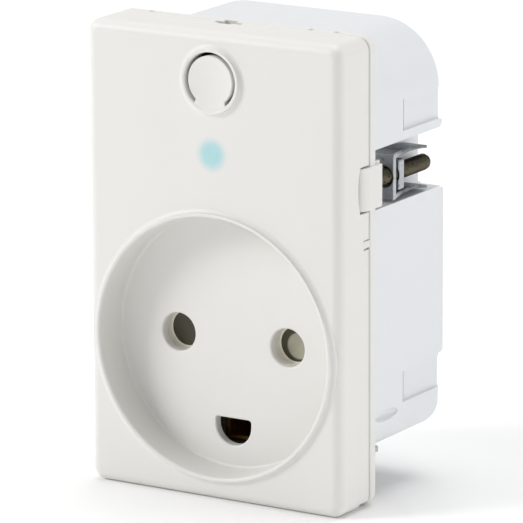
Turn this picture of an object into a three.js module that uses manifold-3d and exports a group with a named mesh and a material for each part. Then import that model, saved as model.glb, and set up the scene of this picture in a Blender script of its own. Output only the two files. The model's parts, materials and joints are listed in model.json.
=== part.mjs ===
// Flush-mounted smart socket insert for a wall box: Danish pin pattern, one push button, one status light.
// Millimetres. X runs to the right, Y into the wall, Z up. The origin is the middle of the wall plane,
// which is the rear face of the mounting frame's flange.
import * as THREE from "three";
import { mergeVertices } from "three/addons/utils/BufferGeometryUtils.js";
import Module from "manifold-3d";

const wasm = await Module();
wasm.setup();

// Clearances
const fitGap = 0.3; // between two pieces that sit on or in each other
const screwGap = 0.25; // around a screw, on the radius

// Front cover
const coverWidth = 43.7;
const coverHeight = 70.6;
const faceReach = 10.1; // wall plane to front face
const coverCorner = 2;
const coverFillet = 1.6;
const faceWall = 1.8;
const sideWall = 1.5;

// Socket recess and pin pattern
const recessFromBottom = 23.3;
const recessRadius = 19.7;
const recessDepth = 5.4;
const recessWall = 1;
const recessFloor = 1.4;
const lipHeight = 0.6;
const lipWidth = 1.4;
const lipShoulder = 0.8; // shares of the lip's width and height, from its inner edge
const lipShoulderRise = 0.7;
const lipCrown = 0.4;
const lipInnerRise = 0.6;
const pinSpacing = 19;
const pinHoleRadius = 2.9;
const earthDrop = 12.1; // pin line to the flat of the earth hole
const earthHalfWidth = 3.05;
const earthStraight = 1.1;

// Push button and status light
const buttonFromTop = 7.2;
const buttonRingRadius = 5.6;
const buttonRingHeight = 0.6;
const buttonRingChamfer = 0.5;
const buttonRingCrown = 0.8;
const buttonHoleRadius = 4.3;
const buttonSlot = 0.5;
const buttonThickness = 1.2;
const buttonProud = 0.4; // disc forward of the face
const hingeDrop = 6; // button centre to its living hinge
const armWidth = 4.4;
const armThickness = 0.8;
const hingeRibSide = 1; // rib wider than the arm, each side
const hingeRibHeight = 1.8;
const hingeOverlap = 0.4;
const stemRadius = 1;
const lightDrop = 11; // button centre to light centre
const lightRadius = 2;
const lightSkin = 0.9;

// Release slot in the top, for a screwdriver
const leverSlotLeft = 4.2;
const leverSlotRight = 0.4;
const leverSlotDepth = 1.2;

// Mounting frame
const plateThickness = 1.6;
const clawRise = 13; // claw centre above the middle
const tabHeight = 6.4;
const tabReach = 4.4; // wall plane forward to the tab's front end
const tabTail = 1.4; // wall plane back to the tab's rear end
const tabProud = 0.35;
const tabThickness = 1.2;
const tabNoseAcross = 0.6;
const tabNoseAlong = 0.9;
const latchNoseGap = 0.6; // window forward of the tab's nose
const clawSeatBack = 2;
const clawSeatInset = 0.5;
const connectorHalfWidth = 5;
const connectorHalfHeight = 1.25;
const connectorDrop = 2.4; // light centre to the board connector
const boardPadInset = 2;
const boardPadRadius = 1.2;

// Rear housing
const housingDepth = 19.9;
const housingSideInset = 0.35;
const housingTopInset = 1.2;
const housingBottomInset = 7.4;
const housingTopCorner = 9.9;
const housingBottomCorner = 4.5;
const housingWall = 1.4;
const housingFillet = 1.2;
const earthBayHalfWidth = 6.5;
const earthBayCorner = 2;
const earthBayRise = 6; // bay carried up inside the shell
const rearPad = 1; // raised panel round the terminals
const rearPadFillet = 0.7;
const rearPadCorner = 1;
const sideRecessDepth = 0.6;
const sideRecessFront = 8.5;
const sideRecessHeight = 5;
const upperRecessRise = 22; // middle of the upper side recess above the middle
const lowerRecessDrop = 7.4; // pin line to the middle of the lower side recess
const bossRadius = 2.2;
const bossHoleDepth = 11;
const upperScrewInset = 4.3;
const lowerScrewInset = 4.5;
const lowerScrewDrop = 9; // pin line to the lower housing screws
const housingScrewRadius = 1.1;
const housingScrewHead = 2;
const housingScrewHeadHeight = 0.9;
const housingScrewEnd = 10;
const driverSlot = 0.5;
const driverSlotDepth = 0.4;

// Retaining clips
const clipWidth = 0.9;
const clipHeight = 1;
const clipBack = 1.5;
const clipRise = 1.3; // housing bottom to the clip's top

// Claws
const pocketDepth = 3.8;
const pocketHeight = 9;
const pocketWall = 1.1;
const clawScrewInset = 1.85; // housing side to screw axis
const clawScrewRadius = 1.25;
const clawScrewEnd = 18.3;
const clawHeadRadius = 1.65;
const clawHeadThickness = 0.8;
const clawHeadBack = -0.65;
const clawHeadSeat = -0.35;
const webPlace = 5.9;
const clawSheet = 0.8;
const clawHeight = 7;
const prongReach = 16;
const upperArch = 0.7; // crown control height of the upper prong
const lowerArch = 0.8;
const prongTip = 0.45; // sheet left at the prong's tip
const nutPlace = 7.7;
const nutThickness = 1.5;
const nutHeight = 4.2;

// Socket insert, contacts and shutter
const insertHalfWidth = 14.5;
const legHalfWidth = 4.4;
const insertRear = 8.5;
const insertDrop = 6.5; // pin line to the insert block's lower edge
const insertRise = 14.2; // pin line to the top of its front plate
const legDrop = 0.9; // earth hole to the leg's lower end
const earthBoreHalfWidth = 3.6;
const earthTubeHalfWidth = 3.3;
const earthTubeWall = 0.5;
const earthStrapHalfWidth = 2.2;
const sleeveRadius = 3.1;
const sleeveBore = 2.45;
const strapThickness = 0.8;
const strapHalfWidth = 2.6;
const shutterHalfHeight = 3.2;
const shutterOverlap = 3.4; // pin centre to the shutter's end
const springStopHalfWidth = 1.2;
const springStopHeight = 1.6;
const shutterTravel = 6.2;
const springRadius = 0.55;
const springWire = 0.15;
const springTurns = 6;
const springLength = 9.3;

// Terminals
const terminalPitch = 9.4;
const terminalRise = 13.3; // pin line to the middle of the terminal block
const terminalHeight = 10.6;
const chamberHalfWidth = 3.8;
const portRadius = 1.6;
const portSpacing = 3.5;
const leafThickness = 0.4;
const leafRun = 4.4;
const leafHalfWidth = 2.8;
const leafInset = 0.7;
const chamberRoof = 1;
const chamberBase = 1.1;
const chamberBackWall = 1.6;
const portDrop = 2.4; // block middle to the wire entries
const releaseRise = 1.5; // block middle to the release buttons
const releaseHalfWidth = 2.2;
const releaseHalfHeight = 1.1;
const releaseNoseHalfWidth = 1.2;
const releaseNoseHalfHeight = 0.3;
const releaseNoseLength = 1.1;

// Boards
const boardThickness = 1;
const controlHalfWidth = 13.5;
const powerHalfWidth = 14.2;
const powerPlace = 3;
const soldering = 0.4; // joints behind the power board

// Parts on the boards
const switchHalfWidth = 3;
const switchHeight = 1.9;
const plungerRadius = 1.2;
const ledHeight = 1.1;
const radioHeight = 1.8;
const radioLength = 10.5;
const relayWidth = 10.6;
const relayDepth = 12.6;
const relayHeight = 15;
const relayWall = 0.8;
const relayBaseDepth = 1.2;
const relayRoom = 0.6; // between the working parts of the relay
const yokeHalfWidth = 3.4;
const yokeSheet = 0.8;
const coilRadius = 3.4;
const coilLength = 8;
const coreRadius = 1.3;
const armatureSheet = 0.8;
const contactHalfWidth = 1.4;
const contactSheet = 0.3;
const transformerWidth = 10;
const transformerHeight = 9.2;
const transformerDepth = 8.4;
const transformerCore = 1.4;
const capacitorRadius = 3.1;
const capacitorDepth = 10.5;
const filmDepth = 8;
const varistorThickness = 2.6;
const fuseRadius = 1.5;
const fuseLength = 8;

// Worked out from the sizes above
const halfWidth = coverWidth / 2;
const halfHeight = coverHeight / 2;
const face = -faceReach;
const faceBack = face + faceWall;
const coverBack = -plateThickness - fitGap;
const socketZ = recessFromBottom - halfHeight;
const floorFront = face + recessDepth;
const floorBack = floorFront + recessFloor;
const earthTop = socketZ - earthDrop;
const earthBottom = earthTop - earthStraight - earthHalfWidth;
const buttonZ = halfHeight - buttonFromTop;
const lightZ = buttonZ - lightDrop;
const hingeZ = buttonZ - hingeDrop;
const armFront = faceBack + fitGap;
const armBack = armFront + armThickness;
const stemBack = armBack + 0.6;
const housingHalfWidth = halfWidth - housingSideInset;
const housingTop = halfHeight - housingTopInset;
const housingBottom = housingBottomInset - halfHeight;
const housingInnerRear = housingDepth - housingWall;
const pocketFloor = housingHalfWidth - pocketDepth;
const clawScrewX = housingHalfWidth - clawScrewInset;
const clawInner = pocketFloor + screwGap;
const clawOuter = housingHalfWidth - 0.1;
const pocketBottom = clawRise - clawHeight / 2 - fitGap;
const insertFront = -plateThickness + 0.1;
const insertBottom = socketZ - insertDrop;
const insertTop = socketZ + insertRise;
const legBottom = earthBottom - legDrop;
const earthBayBottom = legBottom - fitGap - housingWall;
const shutterFront = floorBack + fitGap;
const shutterBack = insertFront - fitGap;
const strapFront = insertRear + fitGap;
const strapBack = strapFront + strapThickness;
const terminalZ = socketZ + terminalRise;
const terminalTop = terminalZ + terminalHeight / 2;
const terminalBottom = terminalZ - terminalHeight / 2;
const terminalFront = strapBack + fitGap;
const terminalRear = housingInnerRear - fitGap;
const boardBack = -plateThickness - 0.8;
const boardFront = boardBack - boardThickness;
const boardBottom = socketZ + recessRadius + recessWall + 1.6;
const boardTop = halfHeight - sideWall - 1.6;
const powerBottom = terminalTop + 1.6;
const powerTop = housingTop - housingWall - 1.4;
const powerBack = powerPlace + boardThickness + soldering;
const partsFront = powerBack + fitGap;

// Solids: a closed three.js geometry turned into a manifold body, ready to cut and join.
function solid(geometry) {
  const bare = geometry.clone();
  bare.deleteAttribute("normal");
  bare.deleteAttribute("uv");
  const merged = mergeVertices(bare, 1e-4);
  return new wasm.Manifold(
    new wasm.Mesh({
      numProp: 3,
      vertProperties: merged.attributes.position.array,
      triVerts: new Uint32Array(merged.index.array),
    }),
  );
}

function join(first, ...others) {
  return others.reduce((all, next) => all.add(next), first);
}

function cut(first, ...others) {
  return others.reduce((all, next) => all.subtract(next), first);
}

// A box from its low and high corner.
function box(x0, x1, y0, y1, z0, z1) {
  const geometry = new THREE.BoxGeometry(x1 - x0, y1 - y0, z1 - z0);
  return solid(geometry.translate((x0 + x1) / 2, (y0 + y1) / 2, (z0 + z1) / 2));
}

// A cylinder along Y from y0 to y1, or a cone frustum when the end radius differs.
function rod(x, z, radius, y0, y1, sides = 16, endRadius = radius) {
  const geometry = new THREE.CylinderGeometry(endRadius, radius, y1 - y0, sides);
  return solid(geometry.translate(x, (y0 + y1) / 2, z));
}

// A cylinder along X from x0 to x1.
function rodAlongX(y, z, radius, x0, x1, sides = 16) {
  const geometry = new THREE.CylinderGeometry(radius, radius, x1 - x0, sides);
  return solid(geometry.rotateZ(Math.PI / 2).translate((x0 + x1) / 2, y, z));
}

// A cylinder along Z from z0 to z1.
function rodAlongZ(x, y, radius, z0, z1, sides = 16) {
  const geometry = new THREE.CylinderGeometry(radius, radius, z1 - z0, sides);
  return solid(geometry.rotateX(Math.PI / 2).translate(x, y, (z0 + z1) / 2));
}

// A ring turned about an axis along Y: the profile is [radius, y] pairs that start and end on the axis.
function turned(x, z, profile, sides) {
  const points = profile.map(([radius, y]) => new THREE.Vector2(radius, y));
  return solid(new THREE.LatheGeometry(points, sides).translate(x, 0, z));
}

// An outline in X and Z, carried along Y from y0 to y1. A fillet rounds both of its ends.
function slab(outline, y0, y1, fillet = 0) {
  const geometry = new THREE.ExtrudeGeometry(outline, {
    depth: y1 - y0 - 2 * fillet,
    bevelEnabled: fillet > 0,
    bevelThickness: fillet,
    bevelSize: fillet,
    bevelOffset: -fillet,
    bevelSegments: 3,
    curveSegments: 6,
  });
  return solid(geometry.rotateX(Math.PI / 2).translate(0, y1 - fillet, 0));
}

// An outline in Y and Z, carried along X from x0 to x1.
function profileAlongX(outline, x0, x1) {
  const geometry = new THREE.ExtrudeGeometry(outline, {
    depth: x1 - x0,
    bevelEnabled: false,
    curveSegments: 6,
  });
  const upright = new THREE.Matrix4().set(0, 0, 1, x0, 1, 0, 0, 0, 0, 1, 0, 0, 0, 0, 0, 1);
  return solid(geometry.applyMatrix4(upright));
}

// A rectangle in X and Z with its own radius at the top and bottom corners.
function roundedOutline(x0, x1, z0, z1, bottomRadius, topRadius = bottomRadius) {
  const shape = new THREE.Shape();
  shape.moveTo(x0 + bottomRadius, z0);
  shape.lineTo(x1 - bottomRadius, z0);
  shape.absarc(x1 - bottomRadius, z0 + bottomRadius, bottomRadius, -Math.PI / 2, 0, false);
  shape.absarc(x1 - topRadius, z1 - topRadius, topRadius, 0, Math.PI / 2, false);
  shape.absarc(x0 + topRadius, z1 - topRadius, topRadius, Math.PI / 2, Math.PI, false);
  shape.absarc(x0 + bottomRadius, z0 + bottomRadius, bottomRadius, Math.PI, Math.PI * 1.5, false);
  return shape;
}

// The earth hole: flat on top, straight sides, half-round below, with an allowance all round.
function earthOutline(allowance) {
  const half = earthHalfWidth + allowance;
  const shape = new THREE.Shape();
  shape.moveTo(half, earthTop + allowance);
  shape.lineTo(-half, earthTop + allowance);
  shape.lineTo(-half, earthTop - earthStraight);
  shape.absarc(0, earthTop - earthStraight, half, Math.PI, 2 * Math.PI, false);
  return shape;
}

// Materials
function finish(colour, roughness, metalness) {
  return { color: colour, roughness, metalness };
}
const ivoryPlastic = finish(0xebeae6, 0.45, 0);
const housingPlastic = finish(0xe4e7ec, 0.5, 0);
const clearPlastic = finish(0xb6dee3, 0.3, 0);
const darkPlastic = finish(0x55524a, 0.55, 0);
const zincSteel = finish(0x9a9da0, 0.35, 0.9);
const darkSteel = finish(0x5d564e, 0.45, 0.9);
const brassStrip = finish(0xb08a4a, 0.35, 0.9);
const boardGreen = finish(0x2f5a3a, 0.6, 0);
const copperWire = finish(0xa0522d, 0.45, 0.6);
const partBlue = finish(0x3a5f8a, 0.5, 0);
const partBlack = finish(0x2b2b2d, 0.55, 0);

const insert = new THREE.Group();

// Adds a named mesh for a body.
function piece(name, look, body) {
  const made = body.getMesh();
  const geometry = new THREE.BufferGeometry();
  geometry.setAttribute("position", new THREE.BufferAttribute(made.vertProperties, 3));
  geometry.setIndex(new THREE.BufferAttribute(made.triVerts, 1));
  geometry.computeVertexNormals();
  const mesh = new THREE.Mesh(geometry, new THREE.MeshStandardMaterial(look));
  mesh.name = name;
  insert.add(mesh);
}

const sides = [
  { side: 1, label: "right" },
  { side: -1, label: "left" },
];
const pinX = pinSpacing / 2;

// Latch windows in the cover's sides, round the frame's tabs.
function latchWindow(side) {
  const z0 = clawRise - tabHeight / 2 - fitGap;
  const z1 = clawRise + tabHeight / 2 + fitGap;
  const inner = halfWidth - sideWall - 1;
  const x0 = side > 0 ? inner : -halfWidth - 1;
  const x1 = side > 0 ? halfWidth + 1 : -inner;
  return box(x0, x1, -tabReach - latchNoseGap, coverBack + 1, z0, z1);
}

function frontCover() {
  const shell = slab(roundedOutline(-halfWidth, halfWidth, -halfHeight, halfHeight, coverCorner),
    face, coverBack + coverFillet + 1, coverFillet);
  const trimmed = cut(shell,
    box(-halfWidth - 1, halfWidth + 1, coverBack, coverBack + 9, -halfHeight - 1, halfHeight + 1));
  const hollow = box(-halfWidth + sideWall, halfWidth - sideWall, faceBack, coverBack + 1,
    -halfHeight + sideWall, halfHeight - sideWall);
  const cupOuter = recessRadius + recessWall;
  const cup = turned(0, socketZ, [
    [0, face + 0.2],
    [recessRadius + lipWidth, face + 0.2],
    [recessRadius + lipWidth, face],
    [recessRadius + lipShoulder * lipWidth, face - lipShoulderRise * lipHeight],
    [recessRadius + lipCrown * lipWidth, face - lipHeight],
    [recessRadius, face - lipInnerRise * lipHeight],
    [0, face - lipInnerRise * lipHeight],
  ].reverse(), 48);
  const cupBody = rod(0, socketZ, cupOuter, face + 0.1, floorBack, 48).intersect(
    box(-halfWidth + 0.1, halfWidth - 0.1, face, coverBack, -halfHeight + 0.1, halfHeight));
  const cupSpace = rod(0, socketZ, recessRadius, face - 2, floorFront, 48);
  const ring = turned(0, buttonZ, [
    [0, face + 0.2],
    [buttonRingRadius, face + 0.2],
    [buttonRingRadius, face],
    [buttonRingRadius - buttonRingChamfer, face - buttonRingCrown * buttonRingHeight],
    [buttonRingRadius - buttonRingCrown, face - buttonRingHeight],
    [0, face - buttonRingHeight],
  ].reverse(), 28);
  const ribHalfWidth = armWidth / 2 + hingeRibSide;
  const ribTop = hingeZ - fitGap - hingeOverlap;
  const hingeRib = box(-ribHalfWidth, ribHalfWidth, faceBack - 0.1, armBack + 0.2,
    ribTop - hingeRibHeight, ribTop);
  const body = join(cut(trimmed, hollow), cup, cupBody, ring, hingeRib);
  const leverSlot = box(-leverSlotLeft, leverSlotRight, coverBack - leverSlotDepth, coverBack + 1,
    halfHeight - sideWall - 1, halfHeight + 1);
  return cut(body,
    cupSpace,
    rod(pinX, socketZ, pinHoleRadius, floorFront - 1, floorBack + 1, 24),
    rod(-pinX, socketZ, pinHoleRadius, floorFront - 1, floorBack + 1, 24),
    slab(earthOutline(0), floorFront - 1, floorBack + 1),
    rod(0, buttonZ, buttonHoleRadius, face - 2, faceBack + 1, 28),
    rod(0, lightZ, lightRadius + fitGap, face + lightSkin, faceBack + 1, 20),
    leverSlot,
    ...sides.map(({ side }) => latchWindow(side)));
}
piece("front_cover", ivoryPlastic, frontCover());

// Button: a disc in the cover's hole, on an arm that bends behind the face.
function buttonTongue() {
  const discRadius = buttonHoleRadius - buttonSlot;
  const discFront = face - buttonProud;
  const disc = rod(0, buttonZ, discRadius, discFront, discFront + buttonThickness, 28);
  const neck = rod(0, buttonZ, discRadius - 0.6, face + 0.5, armFront + 0.1, 20);
  const arm = box(-armWidth / 2, armWidth / 2, armFront, armBack, hingeZ - hingeOverlap, buttonZ + 1.6);
  const stem = rod(0, buttonZ, stemRadius, armBack - 0.1, stemBack, 14);
  return join(disc, neck, arm, stem);
}
piece("button_tongue", ivoryPlastic, buttonTongue());

const ledFront = boardFront - ledHeight;
piece("light_guide", clearPlastic, join(
  rod(0, lightZ, lightRadius, face + lightSkin + fitGap, faceBack + 0.6, 20),
  rod(0, lightZ, lightRadius - 0.5, faceBack + 0.5, ledFront - fitGap, 20)));

// Mounting frame: a flange with latch tabs, a window for the socket insert and one for the connector.
const connectorZ = lightZ - connectorDrop;
const housingScrews = [
  [housingHalfWidth - upperScrewInset, housingTop - housingTopCorner],
  [-housingHalfWidth + upperScrewInset, housingTop - housingTopCorner],
  [housingHalfWidth - lowerScrewInset, socketZ - lowerScrewDrop],
  [-housingHalfWidth + lowerScrewInset, socketZ - lowerScrewDrop],
];

function latchTab(side) {
  const z0 = clawRise - tabHeight / 2;
  const z1 = clawRise + tabHeight / 2;
  const outer = halfWidth + tabProud;
  const shape = new THREE.Shape();
  shape.moveTo(outer - tabThickness, -tabReach);
  shape.lineTo(outer - tabNoseAcross, -tabReach);
  shape.lineTo(outer, -tabReach + tabNoseAlong);
  shape.lineTo(outer, tabTail);
  shape.lineTo(outer - tabThickness, tabTail);
  const geometry = new THREE.ExtrudeGeometry(shape, { depth: z1 - z0, bevelEnabled: false });
  const tab = solid(geometry.translate(0, 0, z0));
  return side > 0 ? tab : tab.mirror([1, 0, 0]);
}

function clawSeat(side) {
  const inner = pocketFloor + fitGap;
  const outer = halfWidth - clawSeatInset;
  const x0 = side > 0 ? inner : -outer;
  const x1 = side > 0 ? outer : -inner;
  return box(x0, x1, -0.1, clawSeatBack, clawRise - clawHeight / 2, clawRise + clawHeight / 2);
}

function mountingFrame() {
  const flange = slab(roundedOutline(-halfWidth, halfWidth, -halfHeight, halfHeight, coverCorner),
    -plateThickness, 0);
  const padX = controlHalfWidth - boardPadInset;
  const pads = [-padX, padX].flatMap((x) => [boardBottom + boardPadInset, boardTop - boardPadInset].map((z) =>
    rod(x, z, boardPadRadius, boardBack + fitGap, -plateThickness + 0.1, 12)));
  const body = join(flange, ...pads, ...sides.flatMap(({ side }) => [latchTab(side), clawSeat(side)]));
  const insertWindow = join(
    box(-insertHalfWidth - fitGap, insertHalfWidth + fitGap, -2, 1,
      insertBottom - fitGap, insertTop + fitGap),
    box(-legHalfWidth - fitGap, legHalfWidth + fitGap, -2, 1, legBottom - fitGap, insertBottom));
  const connectorWindow = box(-connectorHalfWidth - fitGap, connectorHalfWidth + fitGap, -2, 1,
    connectorZ - connectorHalfHeight - fitGap, connectorZ + connectorHalfHeight + fitGap);
  const leverSlot = box(-leverSlotLeft, leverSlotRight, -plateThickness - 1, -plateThickness / 2,
    halfHeight - 1.2, halfHeight + 1);
  const clawHoles = sides.flatMap(({ side }) => [
    rod(side * clawScrewX, clawRise, clawScrewRadius + screwGap, -3, 3, 16),
    rod(side * clawScrewX, clawRise, clawHeadRadius + screwGap, -2, clawHeadSeat, 20),
  ]);
  const screwHoles = housingScrews.map(([x, z]) =>
    rod(x, z, housingScrewRadius + screwGap, -3, 1, 12));
  return cut(body, insertWindow, connectorWindow, leverSlot, ...clawHoles, ...screwHoles);
}
piece("mounting_frame", ivoryPlastic, mountingFrame());

// Rear housing: a deep shell, with a pocket on each side for the claws and a bay for the earth contact.
function housingOutline(inset) {
  return roundedOutline(-housingHalfWidth + inset, housingHalfWidth - inset, housingBottom + inset,
    housingTop - inset, housingBottomCorner - inset, housingTopCorner - inset);
}

function bayOutline(inset) {
  return roundedOutline(-earthBayHalfWidth + inset, earthBayHalfWidth - inset, earthBayBottom + inset,
    housingBottom + earthBayRise, earthBayCorner - inset);
}

function sideBox(side, x0, x1, y0, y1, z0, z1) {
  return side > 0 ? box(x0, x1, y0, y1, z0, z1) : box(-x1, -x0, y0, y1, z0, z1);
}

const terminalX = [-terminalPitch, 0, terminalPitch];
const portZ = terminalZ - portDrop;
const buttonRowZ = terminalZ + releaseRise;

function terminalHoles(y0, y1) {
  return terminalX.flatMap((x) => [
    rod(x - portSpacing / 2, portZ, portRadius, y0, y1, 14),
    rod(x + portSpacing / 2, portZ, portRadius, y0, y1, 14),
    box(x - releaseHalfWidth - fitGap, x + releaseHalfWidth + fitGap, y0, y1,
      buttonRowZ - releaseHalfHeight - fitGap, buttonRowZ + releaseHalfHeight + fitGap),
  ]);
}

// The raised panel on the rear, from the lower side recesses up to the claw pockets.
function rearPadBody() {
  const outline = roundedOutline(-housingHalfWidth, housingHalfWidth,
    socketZ - lowerRecessDrop + sideRecessHeight / 2, pocketBottom, rearPadCorner);
  return slab(outline, fitGap, housingDepth + rearPad, rearPadFillet);
}

function sideRecess(side, middle) {
  return sideBox(side, housingHalfWidth - sideRecessDepth, housingHalfWidth + 1, sideRecessFront,
    housingDepth + 1, middle - sideRecessHeight / 2, middle + sideRecessHeight / 2);
}

function rearHousing() {
  const outer = join(
    slab(housingOutline(0), fitGap - housingFillet - 1, housingDepth, housingFillet),
    slab(bayOutline(0), fitGap - housingFillet - 1, housingDepth, housingFillet),
    rearPadBody());
  const front = box(-halfWidth - 1, halfWidth + 1, -9, fitGap, -halfHeight, halfHeight);
  const hollow = join(
    slab(housingOutline(housingWall), -9, housingInnerRear),
    slab(bayOutline(housingWall), -9, housingInnerRear));
  const pocketTop = pocketBottom + pocketHeight;
  const pocketWalls = sides.map(({ side }) => sideBox(side, pocketFloor - pocketWall,
    housingHalfWidth - 0.2, fitGap, housingDepth - 0.4, pocketBottom - pocketWall, pocketTop + pocketWall));
  const pockets = sides.map(({ side }) => sideBox(side, pocketFloor, housingHalfWidth + 1,
    -1, housingDepth + rearPad + 1, pocketBottom, pocketTop));
  const bosses = housingScrews.map(([x, z]) => rod(x, z, bossRadius, fitGap, housingInnerRear + 0.1, 14));
  const bossHoles = housingScrews.map(([x, z]) =>
    rod(x, z, housingScrewRadius + screwGap, -1, bossHoleDepth, 12));
  const sideRecesses = sides.flatMap(({ side }) => [
    sideRecess(side, upperRecessRise),
    sideRecess(side, socketZ - lowerRecessDrop),
  ]);
  const shell = cut(outer, front, hollow);
  return cut(join(shell, ...pocketWalls, ...bosses), ...pockets, ...bossHoles, ...sideRecesses,
    ...terminalHoles(housingInnerRear - 1, housingDepth + rearPad + 1));
}
piece("rear_housing", housingPlastic, rearHousing());

housingScrews.forEach(([x, z], index) => {
  const headBack = -plateThickness - fitGap;
  const headFront = headBack - housingScrewHeadHeight;
  const head = rod(x, z, housingScrewHead, headFront, headBack, 16);
  const shank = rod(x, z, housingScrewRadius, headBack - 0.1, housingScrewEnd, 12);
  const slot = box(x - housingScrewHead - 1, x + housingScrewHead + 1, headFront - 1,
    headFront + driverSlotDepth, z - driverSlot / 2, z + driverSlot / 2);
  piece(`housing_screw_${index + 1}`, zincSteel, cut(join(head, shank), slot));
});

// Small steel clips that stand behind the flange, outside the housing's lower corners.
sides.forEach(({ side, label }) => {
  const top = housingBottom + clipRise;
  piece(`retaining_clip_${label}`, zincSteel,
    sideBox(side, housingHalfWidth - clipWidth, housingHalfWidth, fitGap, clipBack,
      top - clipHeight, top));
});

// Claws: a bent bracket round a screw, and a square nut that travels along the screw.
function prong(side, base, arch) {
  const outline = new THREE.Shape();
  const crown = (webPlace + prongReach) / 2 - 1;
  outline.moveTo(webPlace, base);
  outline.quadraticCurveTo(crown, base + arch, prongReach, base);
  outline.lineTo(prongReach, base + prongTip);
  outline.quadraticCurveTo(crown, base + arch + clawSheet, webPlace, base + clawSheet);
  const x0 = side > 0 ? clawInner : -clawOuter;
  const x1 = side > 0 ? clawOuter : -clawInner;
  return profileAlongX(outline, x0, x1);
}

function clawBracket(side) {
  const bottom = clawRise - clawHeight / 2;
  const web = sideBox(side, clawInner, clawOuter, webPlace, webPlace + clawSheet,
    bottom, bottom + clawHeight);
  const hole = rod(side * clawScrewX, clawRise, clawScrewRadius + screwGap, 0, 12, 18);
  const upper = prong(side, bottom + clawHeight - clawSheet, upperArch);
  return cut(join(web, upper, prong(side, bottom, lowerArch)), hole);
}

function clawScrew(side) {
  const x = side * clawScrewX;
  const headFront = clawHeadBack - clawHeadThickness;
  const head = rod(x, clawRise, clawHeadRadius, headFront, clawHeadBack, 20);
  const shank = rod(x, clawRise, clawScrewRadius, clawHeadBack - 0.1, clawScrewEnd, 16);
  const slot = box(x - clawHeadRadius - 1, x + clawHeadRadius + 1, headFront - 1,
    headFront + driverSlotDepth, clawRise - driverSlot / 2, clawRise + driverSlot / 2);
  return cut(join(head, shank), slot);
}

function clawNut(side) {
  const plate = sideBox(side, clawInner, clawOuter - 0.1, nutPlace, nutPlace + nutThickness,
    clawRise - nutHeight / 2, clawRise + nutHeight / 2);
  return cut(plate, rod(side * clawScrewX, clawRise, clawScrewRadius + screwGap, 0, 12, 18));
}

sides.forEach(({ side, label }) => {
  piece(`claw_bracket_${label}`, zincSteel, clawBracket(side));
  piece(`claw_screw_${label}`, darkSteel, clawScrew(side));
  piece(`claw_nut_${label}`, zincSteel, clawNut(side));
});

// Socket insert: the insulating block behind the recess, with a bore for each contact.
const stopBottom = insertTop - springStopHeight;
function socketInsert() {
  const front = box(-insertHalfWidth, insertHalfWidth, insertFront, 1, insertBottom, insertTop);
  const block = box(-insertHalfWidth, insertHalfWidth, insertFront, insertRear, insertBottom,
    socketZ + insertDrop);
  const leg = box(-legHalfWidth, legHalfWidth, insertFront, insertRear, legBottom, insertBottom + 1);
  const springStop = box(-springStopHalfWidth, springStopHalfWidth, shutterFront, insertFront + 0.1,
    stopBottom, insertTop - 0.2);
  const bores = [-1, 1].map((sx) =>
    rod(sx * pinX, socketZ, sleeveRadius + fitGap, insertFront - 1, insertRear + 1, 20));
  const earthBore = box(-earthBoreHalfWidth, earthBoreHalfWidth, insertFront - 1, insertRear + 1,
    earthBottom - fitGap, earthTop + earthTubeWall + fitGap);
  return cut(join(front, block, leg, springStop), ...bores, earthBore);
}
piece("socket_insert", darkPlastic, socketInsert());

// Contacts: a sprung sleeve for each pin, and a strap that runs up to its terminal.
const contactFront = insertFront + 0.5;
const strapTop = terminalTop - 1;
function pinContact(sx, terminal) {
  const x = sx * pinX;
  const sleeve = rod(x, socketZ, sleeveRadius, contactFront, strapBack, 20);
  const strap = box(x - strapHalfWidth, x + strapHalfWidth, strapFront, strapBack, socketZ, terminalBottom);
  const foot = box(terminal - strapHalfWidth, terminal + strapHalfWidth, strapFront, strapBack,
    terminalBottom - 3, strapTop);
  return cut(join(sleeve, strap, foot), rod(x, socketZ, sleeveBore, contactFront - 1, strapBack + 1, 20));
}
piece("contact_neutral", brassStrip, pinContact(-1, terminalX[0]));
piece("contact_live", brassStrip, pinContact(1, terminalX[2]));

function earthContact() {
  const inner = earthTubeHalfWidth - earthTubeWall;
  const tube = box(-earthTubeHalfWidth, earthTubeHalfWidth, contactFront, strapBack, earthBottom,
    earthTop + earthTubeWall);
  const inside = box(-inner, inner, contactFront - 1, strapBack + 1, earthBottom + earthTubeWall, earthTop);
  const strap = box(-earthStrapHalfWidth, earthStrapHalfWidth, strapFront, strapBack, earthTop + 0.2,
    strapTop);
  return join(cut(tube, inside), strap);
}
piece("contact_earth", brassStrip, earthContact());

// Shutter: a sprung plate that blocks both pin holes until two pins lift it together.
function shutterPlate() {
  const bottom = socketZ - shutterHalfHeight;
  const top = socketZ + shutterHalfHeight;
  return box(-pinX - shutterOverlap, pinX + shutterOverlap, shutterFront, shutterBack, bottom, top);
}
piece("shutter", darkPlastic, shutterPlate());

// The return spring, a helix between the shutter and its stop.
class Helix extends THREE.Curve {
  constructor(radius, turns, bottom, length) {
    super();
    Object.assign(this, { radius, turns, bottom, length });
  }

  getPoint(t) {
    const angle = 2 * Math.PI * this.turns * t;
    return new THREE.Vector3(this.radius * Math.cos(angle), this.radius * Math.sin(angle),
      this.bottom + this.length * t);
  }
}

function shutterSpring() {
  const bottom = socketZ + shutterHalfHeight + fitGap + springWire;
  const length = stopBottom - fitGap - springWire - bottom;
  const section = new THREE.Shape();
  section.absarc(0, 0, springWire, 0, 2 * Math.PI, false);
  const geometry = new THREE.ExtrudeGeometry(section, {
    steps: springTurns * 9,
    curveSegments: 3,
    bevelEnabled: false,
    extrudePath: new Helix(springRadius, springTurns, bottom, Math.min(length, springLength)),
  });
  return solid(geometry.translate(0, (shutterFront + shutterBack) / 2, 0));
}
piece("shutter_spring", zincSteel, shutterSpring());

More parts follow.
